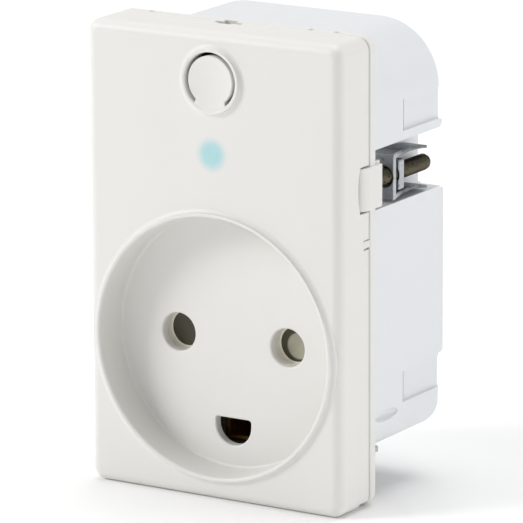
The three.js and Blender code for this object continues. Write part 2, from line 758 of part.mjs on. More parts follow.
// Terminal block: three chambers, each with a sprung leaf and a release button.
const chamberTop = terminalTop - chamberRoof;
const chamberBottom = terminalBottom + chamberBase;
const chamberRear = terminalRear - chamberBackWall;
function terminalBlock() {
  const half = terminalPitch + chamberHalfWidth + 1.1;
  const block = box(-half, half, terminalFront, terminalRear, terminalBottom, terminalTop);
  const chambers = terminalX.map((x) => box(x - chamberHalfWidth, x + chamberHalfWidth,
    terminalFront - 1, chamberRear, chamberBottom, chamberTop));
  return cut(block, ...chambers, ...terminalHoles(chamberRear - 1, terminalRear + 1));
}
piece("terminal_block", darkPlastic, terminalBlock());

const leafPivotY = chamberRear - 0.6;
const leafPivotZ = chamberTop - leafInset;
const releaseNoseY = leafPivotY - (leafPivotZ - buttonRowZ) + leafThickness / 2 + 0.9;
["neutral", "earth", "live"].forEach((label, index) => {
  const x = terminalX[index];
  const offset = leafThickness / Math.SQRT2;
  const leaf = new THREE.Shape();
  leaf.moveTo(leafPivotY, leafPivotZ);
  leaf.lineTo(leafPivotY - leafRun, leafPivotZ - leafRun);
  leaf.lineTo(leafPivotY - leafRun - offset, leafPivotZ - leafRun + offset);
  leaf.lineTo(leafPivotY - offset, leafPivotZ + offset);
  piece(`clamp_spring_${label}`, zincSteel, profileAlongX(leaf, x - leafHalfWidth, x + leafHalfWidth));
  piece(`release_button_${label}`, darkPlastic, join(
    box(x - releaseHalfWidth, x + releaseHalfWidth, releaseNoseY + releaseNoseLength,
      housingDepth + rearPad - 0.3, buttonRowZ - releaseHalfHeight, buttonRowZ + releaseHalfHeight),
    box(x - releaseNoseHalfWidth, x + releaseNoseHalfWidth, releaseNoseY,
      releaseNoseY + releaseNoseLength + 0.1, buttonRowZ - releaseNoseHalfHeight,
      buttonRowZ + releaseNoseHalfHeight)));
});

// Control board behind the face: switch under the button, light under its guide, radio beside them.
piece("control_board", boardGreen,
  box(-controlHalfWidth, controlHalfWidth, boardFront, boardBack, boardBottom, boardTop));

const switchFront = boardFront - fitGap - switchHeight;
const plungerFront = stemBack + fitGap;
piece("tact_switch_body", partBlack, cut(
  box(-switchHalfWidth, switchHalfWidth, switchFront, boardFront - fitGap, buttonZ - switchHalfWidth,
    buttonZ + switchHalfWidth),
  rod(0, buttonZ, plungerRadius + fitGap, switchFront - 1, switchFront + 1.3, 16)));
piece("tact_switch_plunger", ivoryPlastic,
  rod(0, buttonZ, plungerRadius, plungerFront, switchFront + 0.5, 16));
piece("status_led", clearPlastic, box(-1, 1, ledFront, boardFront - fitGap, lightZ - 0.8, lightZ + 0.8));
piece("radio_module", zincSteel,
  box(-controlHalfWidth + 1, -4.6, boardFront - fitGap - radioHeight, boardFront - fitGap,
    boardBottom + 1, boardBottom + 1 + radioLength));
piece("board_connector", partBlack,
  box(-connectorHalfWidth, connectorHalfWidth, boardBack + fitGap, powerPlace - fitGap,
    connectorZ - connectorHalfHeight, connectorZ + connectorHalfHeight));

// Power board and the parts on its rear side.
piece("power_board", boardGreen,
  box(-powerHalfWidth, powerHalfWidth, powerPlace, powerBack, powerBottom, powerTop));

const relayX0 = -powerHalfWidth + 0.4;
const relayX1 = relayX0 + relayWidth;
const relayZ1 = powerTop - 0.4;
const relayZ0 = relayZ1 - relayHeight;
const relayBaseBack = partsFront + relayBaseDepth;
const relayRear = partsFront + relayDepth;
piece("relay_base", partBlack,
  box(relayX0 + relayWall + fitGap, relayX1 - relayWall - fitGap, partsFront, relayBaseBack,
    relayZ0 + relayWall + fitGap, relayZ1 - relayWall - fitGap));
piece("relay_cover", partBlue, cut(
  box(relayX0, relayX1, partsFront, relayRear, relayZ0, relayZ1),
  box(relayX0 + relayWall, relayX1 - relayWall, partsFront - 1, relayRear - relayWall,
    relayZ0 + relayWall, relayZ1 - relayWall)));

const relayX = (relayX0 + relayX1) / 2;
const yokeFront = relayBaseBack + fitGap;
const yokeBottom = relayZ0 + relayWall + relayRoom;
const coilY = yokeFront + yokeSheet + fitGap + coilRadius;
const coilBottom = yokeBottom + yokeSheet + fitGap;
const coilTop = coilBottom + coilLength;
const coreTop = coilTop + relayRoom;
const armatureBottom = coreTop + relayRoom;
const armatureTop = armatureBottom + armatureSheet;
piece("relay_yoke", darkSteel, join(
  box(relayX - yokeHalfWidth, relayX + yokeHalfWidth, yokeFront, yokeFront + yokeSheet, yokeBottom,
    coreTop),
  box(relayX - yokeHalfWidth, relayX + yokeHalfWidth, yokeFront, coilY + 2.6, yokeBottom,
    yokeBottom + yokeSheet),
  rodAlongZ(relayX, coilY, coreRadius, yokeBottom + 0.1, coreTop, 14)));
piece("relay_coil", copperWire, cut(
  rodAlongZ(relayX, coilY, coilRadius, coilBottom, coilTop, 20),
  rodAlongZ(relayX, coilY, coreRadius + fitGap, coilBottom - 1, coilTop + 1, 14)));
piece("relay_armature", darkSteel,
  box(relayX - yokeHalfWidth + 0.2, relayX + yokeHalfWidth - 0.2, yokeFront + 0.2, coilY + 2.8,
    armatureBottom, armatureTop));
piece("relay_moving_contact", brassStrip,
  box(relayX - contactHalfWidth, relayX + contactHalfWidth, coilY + 0.4, coilY + 4.4,
    armatureTop + fitGap, armatureTop + fitGap + contactSheet));
piece("relay_fixed_contact", brassStrip,
  box(relayX - contactHalfWidth, relayX + contactHalfWidth, coilY + coilRadius, coilY + 4.6,
    coilBottom + 2, armatureBottom + 0.1));

const transformerX = relayX1 + transformerWidth / 2 + 1.2;
const transformerZ = powerTop - transformerHeight / 2 - 1.8;
const windingHalfWidth = transformerWidth / 2 - transformerCore - fitGap;
const windingHalfHeight = transformerHeight / 2 + 0.6;
piece("transformer_core", partBlack, cut(
  box(transformerX - transformerWidth / 2, transformerX + transformerWidth / 2,
    partsFront, partsFront + transformerDepth,
    transformerZ - transformerHeight / 2, transformerZ + transformerHeight / 2),
  box(transformerX - windingHalfWidth - fitGap, transformerX + windingHalfWidth + fitGap,
    partsFront + transformerCore, partsFront + transformerDepth - transformerCore,
    transformerZ - transformerHeight, transformerZ + transformerHeight)));
piece("transformer_winding", copperWire,
  box(transformerX - windingHalfWidth, transformerX + windingHalfWidth,
    partsFront + transformerCore + fitGap, partsFront + transformerDepth - transformerCore - fitGap,
    transformerZ - windingHalfHeight, transformerZ + windingHalfHeight));

const capacitorX = powerHalfWidth - capacitorRadius - 0.3;
piece("electrolytic_capacitor", partBlue,
  rod(capacitorX, powerBottom + capacitorRadius + 1.5, capacitorRadius, partsFront,
    partsFront + capacitorDepth, 20));
piece("film_capacitor", partBlue,
  box(-powerHalfWidth + 0.6, -4.8, partsFront, partsFront + filmDepth, powerBottom + 0.4, relayZ0 - 0.6));
piece("varistor", partBlue,
  rod(-0.6, powerBottom + capacitorRadius + 0.9, capacitorRadius, partsFront,
    partsFront + varistorThickness, 20));
piece("fuse", clearPlastic,
  rodAlongX(partsFront + fuseRadius + fitGap, powerBottom + 9.2, fuseRadius, -1.6, -1.6 + fuseLength, 14));

export default insert;
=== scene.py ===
import math
import json
import bpy
import numpy as np
from mathutils import Matrix, Vector


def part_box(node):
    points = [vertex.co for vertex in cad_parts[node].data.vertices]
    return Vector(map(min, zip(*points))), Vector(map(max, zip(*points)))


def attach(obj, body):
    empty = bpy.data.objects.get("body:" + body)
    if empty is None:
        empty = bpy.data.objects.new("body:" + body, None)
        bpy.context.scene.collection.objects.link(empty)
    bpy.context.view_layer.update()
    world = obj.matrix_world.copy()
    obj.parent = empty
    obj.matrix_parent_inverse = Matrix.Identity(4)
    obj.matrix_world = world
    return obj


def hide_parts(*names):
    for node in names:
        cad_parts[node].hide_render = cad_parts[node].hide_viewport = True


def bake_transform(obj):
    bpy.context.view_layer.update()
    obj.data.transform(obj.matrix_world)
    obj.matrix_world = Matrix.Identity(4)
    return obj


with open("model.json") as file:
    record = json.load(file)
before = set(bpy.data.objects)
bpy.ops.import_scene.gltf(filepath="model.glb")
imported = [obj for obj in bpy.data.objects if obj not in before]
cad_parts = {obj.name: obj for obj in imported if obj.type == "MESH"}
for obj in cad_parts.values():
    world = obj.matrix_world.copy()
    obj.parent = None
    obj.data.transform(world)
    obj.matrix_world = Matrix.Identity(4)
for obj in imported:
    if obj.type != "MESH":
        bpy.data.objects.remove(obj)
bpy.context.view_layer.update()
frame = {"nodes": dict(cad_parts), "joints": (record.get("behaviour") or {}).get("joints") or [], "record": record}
mm = 0.001
scene = bpy.context.scene
print("frame loaded:", len(frame["nodes"]), "nodes")


def boxOf(node):
    # a node's low and high corners, in millimetres
    low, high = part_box(node)
    return np.array(low) / mm, np.array(high) / mm


def middleOf(node):
    # the X and Z of a node's middle, in millimetres
    low, high = boxOf(node)
    return (low[0] + high[0]) / 2, (low[2] + high[2]) / 2


def span(side, near, far):
    # the low and high X of a stretch on one side of the middle
    return sorted((side * near, side * far))


def ease(t):
    # from 0 to 1 with a soft start and a soft end
    return t * t * (3 - 2 * t)


# ---- places read from the frame, in millimetres
coverLow, coverHigh = boxOf("front_cover")
tongueLow, tongueHigh = boxOf("button_tongue")
plateHigh = boxOf("mounting_frame")[1]
shellLow, shellHigh = boxOf("rear_housing")
guideLow, guideHigh = boxOf("light_guide")
socketLow, socketHigh = boxOf("socket_insert")
tipLow, tipHigh = boxOf("tact_switch_plunger")
mounts = {m["name"]: np.array(m["pos_m"]) / mm for m in frame["record"]["mounts"]}
openings = {o["name"]: np.array(o["box_m"]) / mm for o in frame["record"]["physics"]["openings"]}
jointPlace = {j["name"]: np.array(j["pos_m"]) / mm for j in frame["joints"] if "pos_m" in j}

faceY = mounts["face_front"][1]
halfWide = coverHigh[0]
halfTall = coverHigh[2]
pinX = openings["pin_entry_right"][:, 0].mean()
socketZ = openings["pin_entry_right"][:, 2].mean()
lightZ = (guideLow[2] + guideHigh[2]) / 2
lightRadius = (guideHigh[2] - guideLow[2]) / 2
buttonZ = (tipLow[2] + tipHigh[2]) / 2
clawX, clawZ = jointPlace["claw_screw_right_turn"][[0, 2]]
screwPlaces = [middleOf(f"housing_screw_{index}") for index in range(1, 5)]


# ---- shape helpers: every shape is a set of closed rings, each ring one row of a grid
def arcLoop(arcs, steps):
    # a closed outline from arcs (centre x, centre z, radius, start angle, end angle); the normal of a
    # point is its direction from its arc's centre
    points, normals = [], []
    for cx, cz, radius, start, end in arcs:
        angle = np.radians(np.linspace(start, end, steps))
        normal = np.stack([np.cos(angle), np.sin(angle)], 1)
        points.append(np.array([cx, cz]) + radius * normal)
        normals.append(normal)
    return np.concatenate(points), np.concatenate(normals)


def roundedBox(x0, x1, z0, z1, low, high=None, steps=9):
    # a rectangle with arcs of radius low at its bottom corners and high at its top corners
    high = low if high is None else high
    return arcLoop([(x1 - low, z0 + low, low, -90, 0), (x1 - high, z1 - high, high, 0, 90),
                    (x0 + high, z1 - high, high, 90, 180), (x0 + low, z0 + low, low, 180, 270)], steps)


def slab(outline, profile):
    # the outline carried along Y: each (inset, y) of the profile gives one ring, moved in by inset
    points, normals = outline
    profile = np.array(profile, float)
    flat = points[None] - normals[None] * profile[:, :1, None]
    depth = np.broadcast_to(profile[:, 1:, None], flat.shape[:2] + (1,))
    return np.concatenate([flat[..., :1], depth, flat[..., 1:]], 2)


def lathe(x, z, profile, sides=96):
    # the profile of (radius, y) pairs turned about an axis along Y through (x, z)
    profile = np.array(profile, float)
    angle = np.linspace(0, 2 * np.pi, sides, endpoint=False)
    radius = profile[:, :1]
    depth = np.broadcast_to(profile[:, 1:], (len(profile), sides))
    return np.stack([x + radius * np.cos(angle), depth, z + radius * np.sin(angle)], 2)


def corner(x, y, radius, start, end, steps=7):
    # points on an arc, as (first, second) pairs for a profile
    angle = np.radians(np.linspace(start, end, steps))
    return [(x + radius * math.cos(a), y + radius * math.sin(a)) for a in angle]


def roundedMouth(radius, y, size, steps):
    # a quarter round that opens the edge at (radius, y) by size
    return [(radius + size - a, y + size - b) for a, b in corner(0, 0, size, 90, 0, steps)]


def ends(y0, y1, edge):
    # a profile from y0 to y1 with both ends chamfered by edge
    return [(edge, y0), (0, y0 + edge), (0, y1 - edge), (edge, y1)]


def block(x0, x1, y0, y1, z0, z1, edge=0.0):
    # a box whose edges along Y are rounded and whose two ends are chamfered by edge
    outline = roundedBox(x0, x1, z0, z1, max(edge, 1e-3), steps=4 if edge else 1)
    return slab(outline, ends(y0, y1, edge) if edge else [(0, y0), (0, y1)])


def skin(rings):
    # quads between neighbouring rings and one flat face at each end; turned over if inside out
    rows, cols = rings.shape[:2]
    points = rings.reshape(-1, 3)
    index = np.arange(rows * cols).reshape(rows, cols)
    following = np.roll(index, -1, axis=1)
    quads = np.stack([index[:-1], following[:-1], following[1:], index[1:]], 2).reshape(-1, 4)
    a, b, c, d = (points[quads[:, k]] for k in range(4))
    centre = points.mean(0)
    volume = np.einsum("ij,ij->i", a - centre, np.cross(c - a, d - b)).sum()
    faces = quads.tolist() + [index[0][::-1].tolist(), index[-1].tolist()]
    if volume < 0:
        faces = [face[::-1] for face in faces]
    return points, faces


def makeObject(name, rings):
    # one object from one or more sets of rings that don't touch
    parts = [skin(r) for r in (rings if isinstance(rings, list) else [rings])]
    starts = np.cumsum([0] + [len(p) for p, _ in parts])
    points = np.concatenate([p for p, _ in parts]) * mm
    faces = [[i + start for i in face] for (_, fs), start in zip(parts, starts) for face in fs]
    mesh = bpy.data.meshes.new(name)
    mesh.from_pydata(points.tolist(), [], faces)
    mesh.validate()
    mesh.update()
    thing = bpy.data.objects.new(name, mesh)
    scene.collection.objects.link(thing)
    return thing


def combine(thing, how, *shapes):
    # joins shapes to a piece, or cuts them from it, one after another
    for shape in shapes:
        tool = makeObject("tool", shape)
        step = thing.modifiers.new("step", "BOOLEAN")
        step.operation = how
        step.solver = "EXACT"
        step.object = tool
        depsgraph = bpy.context.evaluated_depsgraph_get()
        made = bpy.data.meshes.new_from_object(thing.evaluated_get(depsgraph))
        thing.modifiers.clear()
        old = thing.data
        thing.data = made
        bpy.data.meshes.remove(old)
        bpy.data.objects.remove(tool)
    return thing


def smoothSides(thing, angle=32):
    # smooth shading, sharp where faces meet at more than angle, and flat faces kept flat
    thing.data.shade_smooth()
    thing.data.set_sharp_from_angle(angle=math.radians(angle))
    weight = thing.modifiers.new("flatFaces", "WEIGHTED_NORMAL")
    weight.keep_sharp = True
    weight.weight = 100


def place(thing, material, body, slot, *nodes):
    # a finished piece: its finish, the body that it rides on and the nodes that it stands for
    thing.data.materials.clear()
    thing.data.materials.append(material)
    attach(thing, body)
    if nodes:
        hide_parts(*nodes)
    return thing


# ---- shared finish groups
def newGroup(name, inputs, outputs):
    group = bpy.data.node_groups.new(name, "ShaderNodeTree")
    for label, kind, value in inputs:
        socket = group.interface.new_socket(label, in_out="INPUT", socket_type=kind)
        socket.default_value = value
    for label, kind in outputs:
        group.interface.new_socket(label, in_out="OUTPUT", socket_type=kind)
    return group, group.nodes.new("NodeGroupInput"), group.nodes.new("NodeGroupOutput")


def addNode(tree, kind, values=None, **settings):
    node = tree.nodes.new(kind)
    for key, value in settings.items():
        setattr(node, key, value)
    for key, value in (values or {}).items():
        node.inputs[key].default_value = value
    return node


def objectCoords(tree):
    return tree.nodes.new("ShaderNodeTexCoord").outputs["Object"]


def mathNode(tree, operation, first, second=None, third=None):
    # a Math node fed by sockets or plain numbers; gives its output socket
    node = addNode(tree, "ShaderNodeMath", operation=operation)
    for slotIndex, value in enumerate((first, second, third)):
        if value is None:
            continue
        if isinstance(value, (int, float)):
            node.inputs[slotIndex].default_value = value
        else:
            tree.links.new(value, node.inputs[slotIndex])
    return node.outputs[0]


def mixColour(tree, amount, first, second, blend="MIX"):
    node = addNode(tree, "ShaderNodeMix", data_type="RGBA", blend_type=blend)
    for socket, value in ((node.inputs[0], amount), (node.inputs[6], first), (node.inputs[7], second)):
        if hasattr(value, "is_output"):
            tree.links.new(value, socket)
        else:
            socket.default_value = value
    return node.outputs[2]


def noise(tree, coords, scale, detail=3.0, stretch=None):
    if stretch:
        mapping = addNode(tree, "ShaderNodeMapping")
        mapping.inputs["Scale"].default_value = stretch
        tree.links.new(coords, mapping.inputs["Vector"])
        coords = mapping.outputs[0]
    node = addNode(tree, "ShaderNodeTexNoise", {"Detail": detail})
    if hasattr(scale, "is_output"):
        tree.links.new(scale, node.inputs["Scale"])
    else:
        node.inputs["Scale"].default_value = scale
    tree.links.new(coords, node.inputs["Vector"])
    return node.outputs["Fac"]


colourIn, numberIn = "NodeSocketColor", "NodeSocketFloat"


def buildMouldGroup():
    # moulded plastic: broad soft colour drift, faint flow marks, fine spark-eroded grain
    group, given, result = newGroup("mouldedSurface", [
        ("Base", colourIn, (0.8, 0.8, 0.8, 1)), ("Deep", colourIn, (0.7, 0.7, 0.7, 1)),
        ("Drift", numberIn, 0.5), ("Grain Scale", numberIn, 6000.0), ("Roughness", numberIn, 0.4),
        ("Polish", numberIn, 0.08)],
        [("Color", colourIn), ("Roughness", numberIn), ("Height", numberIn)])
    coords = objectCoords(group)
    broad = noise(group, coords, 45.0, 2.0)
    flow = noise(group, coords, 160.0, 4.0, (1.0, 1.0, 0.25))
    grain = noise(group, coords, given.outputs["Grain Scale"], 2.0)
    speck = noise(group, coords, 2600.0, 1.0)
    drift = mathNode(group, "MULTIPLY", mathNode(group, "ADD", broad, flow), 0.5)
    amount = mathNode(group, "MULTIPLY", drift, given.outputs["Drift"])
    colour = mixColour(group, amount, given.outputs["Base"], given.outputs["Deep"])
    fleck = mathNode(group, "GREATER_THAN", speck, 0.73)
    colour = mixColour(group, mathNode(group, "MULTIPLY", fleck, 0.12), colour, given.outputs["Deep"])
    shine = mathNode(group, "MULTIPLY", mathNode(group, "SUBTRACT", flow, 0.5), given.outputs["Polish"])
    group.links.new(colour, result.inputs["Color"])
    rough = mathNode(group, "ADD", given.outputs["Roughness"], shine)
    group.links.new(rough, result.inputs["Roughness"])
    group.links.new(mathNode(group, "MULTIPLY_ADD", flow, 0.35, grain), result.inputs["Height"])
    return group


def buildMetalGroup():
    # rolled and plated sheet: streaks along the rolling direction, cloudy plating, small dull stains
    group, given, result = newGroup("rolledMetal", [
        ("Base", colourIn, (0.6, 0.6, 0.6, 1)), ("Stain", colourIn, (0.3, 0.28, 0.25, 1)),
        ("Stain Amount", numberIn, 0.4), ("Roughness", numberIn, 0.3), ("Streak Scale", numberIn, 900.0)],
        [("Color", colourIn), ("Roughness", numberIn), ("Height", numberIn)])
    coords = objectCoords(group)
    streak = noise(group, coords, given.outputs["Streak Scale"], 4.0, (1.0, 0.08, 1.0))
    cloud = noise(group, coords, 420.0, 5.0)
    spot = mathNode(group, "GREATER_THAN", noise(group, coords, 1500.0, 2.0), 0.64)
    stained = mathNode(group, "MULTIPLY", mathNode(group, "ADD", cloud, spot),
                       given.outputs["Stain Amount"])
    colour = mixColour(group, mathNode(group, "MULTIPLY", stained, 0.7), given.outputs["Base"],
                       given.outputs["Stain"])
    group.links.new(colour, result.inputs["Color"])
    rough = mathNode(group, "MULTIPLY_ADD", streak, 0.25, given.outputs["Roughness"])
    group.links.new(mathNode(group, "MULTIPLY_ADD", spot, 0.12, rough), result.inputs["Roughness"])
    group.links.new(mathNode(group, "MULTIPLY_ADD", cloud, 0.5, streak), result.inputs["Height"])
    return group


mouldGroup = buildMouldGroup()
metalGroup = buildMetalGroup()


def newMaterial(name, constants):
    # a Principled material whose constant sockets are set on the shader itself
    material = bpy.data.materials.new(name)
    material.use_nodes = True
    shader = material.node_tree.nodes["Principled BSDF"]
    for key, value in constants.items():
        shader.inputs[key].default_value = value
    return material, material.node_tree, shader


def addBump(tree, shader, height, distance, strength=1.0):
    bump = addNode(tree, "ShaderNodeBump", {"Strength": strength, "Distance": distance * mm})
    tree.links.new(height, bump.inputs["Height"])
    tree.links.new(bump.outputs["Normal"], shader.inputs["Normal"])


def rgb(red, green, blue):
    # an 8-bit display colour as linear light, with alpha
    value = np.array([red, green, blue]) / 255
    linear = np.where(value <= 0.04045, value / 12.92, ((value + 0.055) / 1.055) ** 2.4)
    return (*linear.tolist(), 1.0)


def groupMaterial(name, group, values, depth, constants):
    # a material whose colour, roughness and relief come from one finish group
    material, tree, shader = newMaterial(name, constants)
    finish = addNode(tree, "ShaderNodeGroup", values, node_tree=group)
    tree.links.new(finish.outputs["Color"], shader.inputs["Base Color"])
    tree.links.new(finish.outputs["Roughness"], shader.inputs["Roughness"])
    addBump(tree, shader, finish.outputs["Height"], depth)
    return material


def plastic(name, look, constants=None):
    values = {"Base": rgb(*look["base"]), "Deep": rgb(*look["deep"]), "Drift": look["drift"],
              "Grain Scale": look["grainScale"], "Roughness": look["roughness"], "Polish": look["polish"]}
    return groupMaterial(name, mouldGroup, values, look["grainDepth"],
                         {"Specular IOR Level": 0.45, **(constants or {})})


def metal(name, look):
    values = {"Base": rgb(*look["base"]), "Stain": rgb(*look["stain"]), "Stain Amount": look["stained"],
              "Roughness": look["roughness"], "Streak Scale": look["streakScale"]}
    return groupMaterial(name, metalGroup, values, look["depth"], {"Metallic": look["metallic"]})


def opened(material):
    # a finished material's tree, shader, present colour and Object coordinates, to paint over
    tree = material.node_tree
    shader = tree.nodes["Principled BSDF"]
    return tree, shader, shader.inputs["Base Color"].links[0].from_socket, objectCoords(tree)


# ---- finishes
ivoryLook = {"base": (230, 229, 226), "deep": (222, 219, 213), "drift": 0.5, "grainScale": 5200.0,
             "roughness": 0.42, "polish": 0.1, "grainDepth": 0.004}
housingLook = {"base": (227, 229, 231), "deep": (219, 222, 225), "drift": 0.5, "grainScale": 4200.0,
               "roughness": 0.36, "polish": 0.12, "grainDepth": 0.005}
darkLook = {"base": (80, 76, 58), "deep": (50, 47, 36), "drift": 0.8, "grainScale": 5200.0,
            "roughness": 0.5, "polish": 0.15, "grainDepth": 0.005}
blackLook = {"base": (46, 46, 48), "deep": (26, 26, 28), "drift": 0.8, "grainScale": 4200.0,
             "roughness": 0.5, "polish": 0.2, "grainDepth": 0.006}
blueLook = {"base": (70, 108, 152), "deep": (44, 76, 118), "drift": 0.7, "grainScale": 3600.0,
            "roughness": 0.42, "polish": 0.2, "grainDepth": 0.004}
zincLook = {"base": (196, 201, 206), "stain": (104, 104, 102), "stained": 0.5, "roughness": 0.24,
            "streakScale": 1100.0, "depth": 0.006, "metallic": 0.82}
darkSteelLook = {"base": (112, 106, 88), "stain": (34, 31, 26), "stained": 0.7, "roughness": 0.26,
                 "streakScale": 1400.0, "depth": 0.005, "metallic": 0.95}
brassLook = {"base": (206, 160, 104), "stain": (120, 78, 44), "stained": 0.45, "roughness": 0.26,
             "streakScale": 900.0, "depth": 0.004, "metallic": 1.0}

ivoryPlastic = plastic("ivoryPlastic", ivoryLook)
housingPlastic = plastic("housingPlastic", housingLook)
darkPlastic = plastic("darkPlastic", darkLook)
blackPlastic = plastic("blackPlastic", blackLook)
bluePlastic = plastic("blueLacquer", blueLook)
zincSteel = metal("zincSteel", zincLook)
darkSteel = metal("darkSteel", darkSteelLook)
brassStrip = metal("brassStrip", brassLook)


def windowMask(tree, coords, centre, radius, fade):
    # 1 inside radius of the centre in X and Z, falling to 0 over fade
    split = addNode(tree, "ShaderNodeSeparateXYZ")
    tree.links.new(coords, split.inputs[0])
    dx = mathNode(tree, "SUBTRACT", split.outputs["X"], centre[0] * mm)
    dz = mathNode(tree, "SUBTRACT", split.outputs["Z"], centre[1] * mm)
    reach = mathNode(tree, "SQRT", mathNode(tree, "ADD", mathNode(tree, "MULTIPLY", dx, dx),
                                            mathNode(tree, "MULTIPLY", dz, dz)))
    ranged = addNode(tree, "ShaderNodeMapRange", interpolation_type="SMOOTHSTEP",
                     values={"From Min": (radius + fade) * mm, "From Max": radius * mm})
    tree.links.new(reach, ranged.inputs["Value"])
    return ranged.outputs["Result"]


glowLook = {"core": (170, 210, 213), "light": (130, 212, 224), "radius": lightRadius - 0.9, "fade": 1.9,
            "strength": 0.05}


def coverFinish(look):
    # the ivory plastic with the status light shining through its thin skin
    material = plastic("coverPlastic", ivoryLook, {"Emission Strength": look["strength"]})
    tree, shader, colour, coords = opened(material)
    lit = windowMask(tree, coords, (0, lightZ), look["radius"], look["fade"])
    cloudy = mathNode(tree, "MULTIPLY_ADD", noise(tree, coords, 900.0, 3.0), 0.25, 0.85)
    glow = mathNode(tree, "MULTIPLY", lit, cloudy)
    tree.links.new(mixColour(tree, glow, colour, rgb(*look["core"])), shader.inputs["Base Color"])
    light = mixColour(tree, glow, (0, 0, 0, 1), rgb(*look["light"]))
    tree.links.new(light, shader.inputs["Emission Color"])
    return material


coverPlastic = coverFinish(glowLook)


def boardFinish():
    # green solder resist over tracks, with tinned pads on a grid
    material, tree, shader = newMaterial("boardGreen", {"Coat Roughness": 0.2, "Coat Weight": 0.3})
    coords = objectCoords(tree)
    tracks = addNode(tree, "ShaderNodeTexBrick", {
        "Scale": 420.0, "Mortar Size": 0.012, "Brick Width": 0.9, "Row Height": 0.35,
        "Color1": rgb(44, 96, 58), "Color2": rgb(38, 86, 50), "Mortar": rgb(66, 124, 72)})
    turned = addNode(tree, "ShaderNodeMapping")
    turned.inputs["Rotation"].default_value = (math.pi / 2, 0, 0)
    tree.links.new(coords, turned.inputs["Vector"])
    tree.links.new(turned.outputs[0], tracks.inputs["Vector"])
    pads = addNode(tree, "ShaderNodeTexVoronoi", {"Scale": 520.0, "Randomness": 0.35})
    tree.links.new(turned.outputs[0], pads.inputs["Vector"])
    tinned = mathNode(tree, "LESS_THAN", pads.outputs["Distance"], 0.16)
    tree.links.new(mixColour(tree, tinned, tracks.outputs["Color"], rgb(190, 192, 188)),
                   shader.inputs["Base Color"])
    tree.links.new(tinned, shader.inputs["Metallic"])
    tree.links.new(mathNode(tree, "MULTIPLY_ADD", noise(tree, coords, 800.0), 0.2, 0.3),
                   shader.inputs["Roughness"])
    addBump(tree, shader, mathNode(tree, "ADD", tinned, tracks.outputs["Fac"]), 0.03)
    return material


def windingFinish():
    # enamelled copper wire wound in layers: fine ridges across Z, a little uneven
    material, tree, shader = newMaterial("copperWire", {"Metallic": 0.85, "Coat Weight": 0.4})
    coords = objectCoords(tree)
    wave = addNode(tree, "ShaderNodeTexWave", {"Scale": 900.0, "Distortion": 0.6, "Detail": 1.0},
                   bands_direction="Z")
    tree.links.new(coords, wave.inputs["Vector"])
    tree.links.new(mixColour(tree, wave.outputs["Fac"], rgb(112, 50, 26), rgb(206, 122, 72)),
                   shader.inputs["Base Color"])
    tree.links.new(mathNode(tree, "MULTIPLY_ADD", noise(tree, coords, 700.0), 0.25, 0.25),
                   shader.inputs["Roughness"])
    addBump(tree, shader, wave.outputs["Fac"], 0.06)
    return material


def clearFinish():
    # clear acrylic with a cool tint and a few scratches
    material, tree, shader = newMaterial("clearPlastic", {"Transmission Weight": 0.7, "IOR": 1.49})
    coords = objectCoords(tree)
    haze = noise(tree, coords, 600.0, 4.0)
    scratch = noise(tree, coords, 1800.0, 2.0, (1.0, 0.05, 1.0))
    tree.links.new(mixColour(tree, haze, rgb(205, 236, 240), rgb(170, 214, 220)),
                   shader.inputs["Base Color"])
    tree.links.new(mathNode(tree, "MULTIPLY_ADD", scratch, 0.25, 0.08), shader.inputs["Roughness"])
    addBump(tree, shader, scratch, 0.003)
    return material


boardGreen = boardFinish()
copperWire = windingFinish()
clearPlastic = clearFinish()

slotFinish = {"ivory_plastic": ivoryPlastic, "housing_plastic": housingPlastic,
              "clear_plastic": clearPlastic, "dark_plastic": darkPlastic,
              "zinc_steel": zincSteel, "dark_steel": darkSteel,
              "brass_strip": brassStrip, "board_green": boardGreen, "copper_wire": copperWire,
              "part_blue": bluePlastic, "part_black": blackPlastic}
for entry in frame["record"]["subparts"]:
    kept = frame["nodes"][entry["node"]]
    kept.data.materials.clear()
    kept.data.materials.append(slotFinish[entry["material_slot"]])
print("finishes made:", len(bpy.data.materials))


# ---- front cover
cover = {"corner": 2.0, "fillet": 1.6, "faceWall": 1.8, "sideWall": 1.5, "back": coverHigh[1],
         "recessRadius": 19.7, "draft": 0.12, "floor": -4.7, "floorBack": -3.3, "cupWall": 1.0,
         "lipWidth": 1.45, "lipHeight": 0.6, "rimRound": 0.4, "floorRound": 0.45,
         "pinRadius": 2.9, "pinFlare": 0.28, "collar": 3.35, "collarBack": -3.05,
         "earthTop": -24.1, "earthHalf": 3.05, "earthStraight": 1.1, "earthBend": 0.45,
         "ringRadius": 5.6, "ringHeight": 0.6, "ringTop": 4.85, "holeRadius": 4.3, "holeRound": 0.3,
         "ribHalf": 3.2, "ribBack": 3.1, "ribLow": 19.9, "ribHigh": 21.4, "windowHeight": 6.4,
         "windowGap": 0.3, "windowDepth": 2.3, "windowFront": -5.0, "windowBow": 0.6,
         "nibNotch": (0.5, -3.5, 3.9, 5.5), "footNotch": (1.6, -4.1, 1.0),
         "leverSlot": (-3.9, 0.6, -3.1, 2.6), "leverNotch": (-3.1, -0.9, -3.5, 2.2)}


def softRise(outer, inward, height):
    # a raised rim's outer side: a stretched quarter round that climbs from the face by height
    return [(outer - inward * math.sin(a), faceY - height * (1 - math.cos(a)) ** 0.9)
            for a in np.linspace(0, np.pi / 2, 9)]


